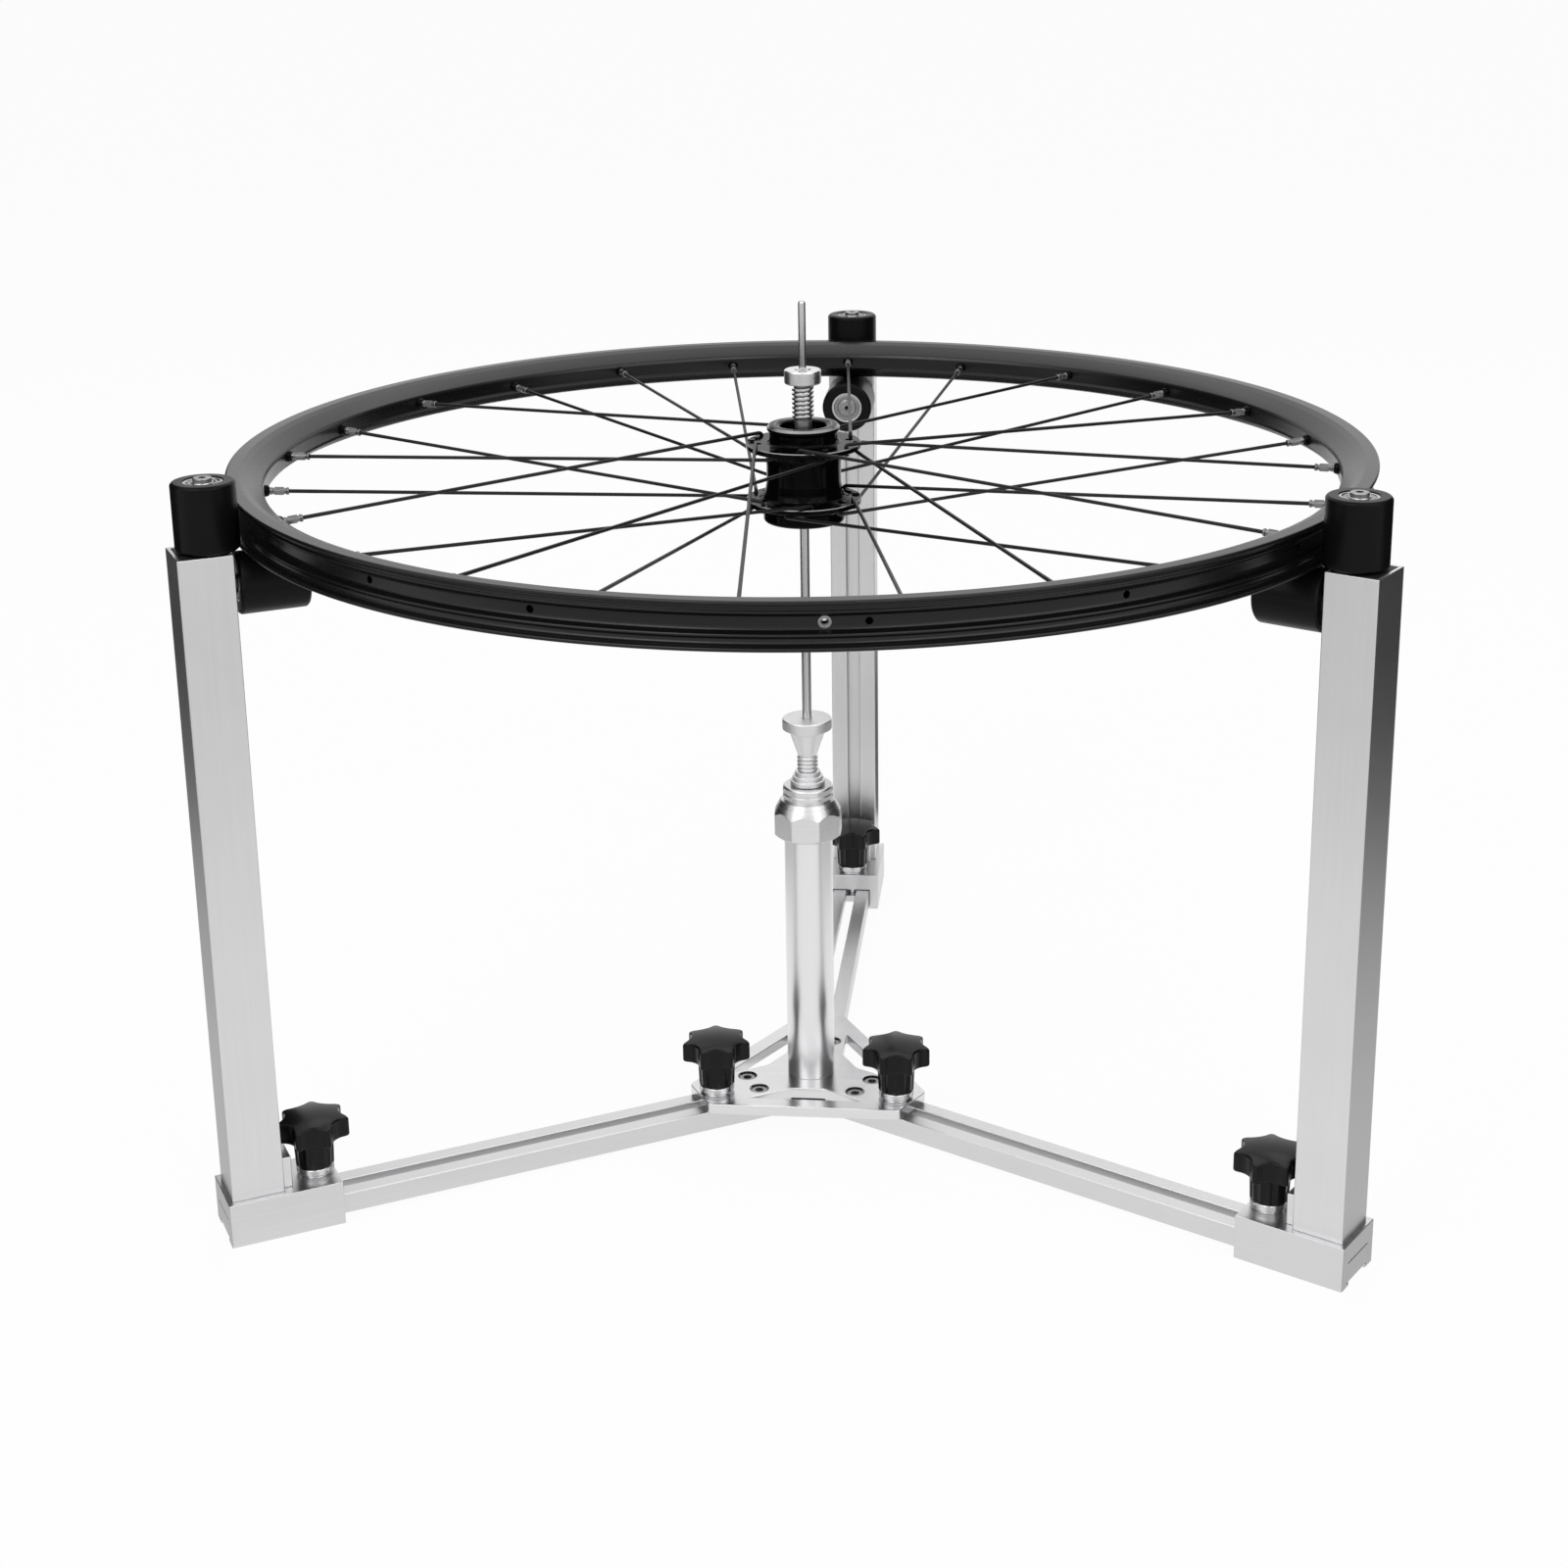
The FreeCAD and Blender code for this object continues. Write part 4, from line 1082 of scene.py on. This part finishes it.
def seen_factor(tree):
    """1 for rays from the eye, from a mirror or through glass."""
    rays = add_node(tree, "LightPath").outputs
    seen = computed(tree, "MAXIMUM", rays["Is Camera Ray"], rays["Is Glossy Ray"])
    return computed(tree, "MAXIMUM", seen, rays["Is Transmission Ray"])


def mixed(tree, factor, first, second, output):
    """Sends the first shader to the output, and the second by the factor."""
    mix = add_node(tree, "MixShader")
    for source, socket in zip((factor, first.outputs[0], second.outputs[0]), mix.inputs):
        tree.links.new(source, socket)
    tree.links.new(mix.outputs[0], add_node(tree, output).inputs["Surface"])


def floor_material():
    """A matt floor, most of whose brightness to the eye and to mirrors is a plain white."""
    material = bpy.data.materials.new("floor_white")
    material.use_nodes = True
    tree = material.node_tree
    tree.nodes.clear()
    matt = add_node(tree, "BsdfDiffuse", Color=(FLOOR_COLOUR, FLOOR_COLOUR, FLOOR_COLOUR, 1))
    white = add_node(tree, "Emission", Strength=1.0)
    factor = computed(tree, "MULTIPLY", seen_factor(tree), FLOOR_GLOW)
    mixed(tree, factor, matt, white, "OutputMaterial")
    return material


def world():
    """A soft light from all sides, which looks white to the eye and to mirrors."""
    space = bpy.data.worlds.new("studio")
    bpy.context.scene.world = space
    space.use_nodes = True
    tree = space.node_tree
    tree.nodes.clear()
    soft = add_node(tree, "Background", Color=(1, 1, 1, 1), Strength=WORLD_LIGHT)
    white = add_node(tree, "Background", Color=(1, 1, 1, 1), Strength=1.0)
    mixed(tree, seen_factor(tree), soft, white, "OutputWorld")


def flat_sheet(name, corners, material):
    mesh = bpy.data.meshes.new(name)
    mesh.from_pydata(corners, [], [tuple(range(len(corners)))])
    mesh.materials.append(material)
    obj = bpy.data.objects.new(name, mesh)
    bpy.context.scene.collection.objects.link(obj)
    return obj


def card(name, corners, shade):
    """A sheet that only mirrors see, from black at nought to the floor's white at one."""
    material = bpy.data.materials.new(name)
    material.use_nodes = True
    shader = material.node_tree.nodes["Principled BSDF"]
    shader.inputs["Base Color"].default_value = (0, 0, 0, 1)
    shader.inputs["Specular IOR Level"].default_value = 0.0
    shader.inputs["Emission Color"].default_value = (1, 1, 1, 1)
    shader.inputs["Emission Strength"].default_value = shade
    obj = flat_sheet(name, corners, material)
    obj.visible_camera = False
    obj.visible_shadow = False
    obj.visible_diffuse = False
    obj.visible_transmission = False


def side_card(name, side):
    """An upright dark card beside the stand, at the right where side is 1 and the left at -1."""
    (x0, y0), (x1, y1), tall = SIDE_CARD
    near, far = (side * x0, y0), (side * x1, y1)
    card(name, [(*near, 0.0), (*far, 0.0), (*far, tall), (*near, tall)], SIDE_CARD_SHADE)


def fan(name, start, end, near, far, shade):
    """A grey sheet on the floor, part of a ring round the stand."""
    corners = []
    for r, order in ((near, range(FAN_STEPS + 1)), (far, range(FAN_STEPS, -1, -1))):
        for k in order:
            a = math.radians(start + (end - start) * k / FAN_STEPS)
            corners.append((r * math.cos(a), r * math.sin(a), SHEET_HEIGHT))
    card(name, corners, shade)


def cards():
    """What the bright metal reflects besides white."""
    side_card("card_right", 1)
    side_card("card_left", -1)
    near = FAN_START
    for ring, (far, shade) in enumerate(FAN_RINGS):
        fan(f"fan_right_{ring}", *RIGHT_SIDE, near, far, shade)
        fan(f"fan_left_{ring}", *LEFT_SIDE, near, far, shade)
        near = far
    for values in FANS:
        fan(*values)


def lamp(name, place, aim_height, size, power):
    light = bpy.data.lights.new(name, "AREA")
    light.shape = "SQUARE"
    light.size = size
    light.energy = power
    obj = bpy.data.objects.new(name, light)
    obj.location = place
    obj.rotation_mode = "QUATERNION"
    ahead = Vector((0, 0, aim_height)) - Vector(place)
    obj.rotation_quaternion = ahead.to_track_quat("-Z", "Y")
    bpy.context.scene.collection.objects.link(obj)


def camera():
    """Stands where the photograph was taken from."""
    data = bpy.data.cameras.new("camera")
    data.lens = CAMERA_LENS
    data.sensor_width = 36.0
    data.shift_x, data.shift_y = CAMERA_SHIFT
    data.clip_start = 0.05
    data.clip_end = 100.0
    aim, pitch, roll = CAMERA_AIM, CAMERA_PITCH, CAMERA_ROLL
    ahead = Vector((-math.sin(aim) * math.cos(pitch), math.cos(aim) * math.cos(pitch),
                    -math.sin(pitch)))
    right = Vector((math.cos(aim), math.sin(aim), 0))
    up = right.cross(ahead)
    side = right * math.cos(roll) + up * math.sin(roll)
    top = up * math.cos(roll) - right * math.sin(roll)
    obj = bpy.data.objects.new("camera", data)
    facing_way = Matrix((side, top, -ahead)).transposed().to_4x4()
    obj.matrix_world = Matrix.Translation(CAMERA_PLACE) @ facing_way
    bpy.context.scene.collection.objects.link(obj)
    bpy.context.scene.camera = obj


bpy.context.scene.view_settings.view_transform = "Standard"
world()
flat_sheet("floor", [(-FLOOR_HALF, -FLOOR_HALF, 0), (FLOOR_HALF, -FLOOR_HALF, 0),
                     (FLOOR_HALF, FLOOR_HALF, 0), (-FLOOR_HALF, FLOOR_HALF, 0)], floor_material())
cards()
for settings in LAMPS:
    lamp(*settings)
camera()
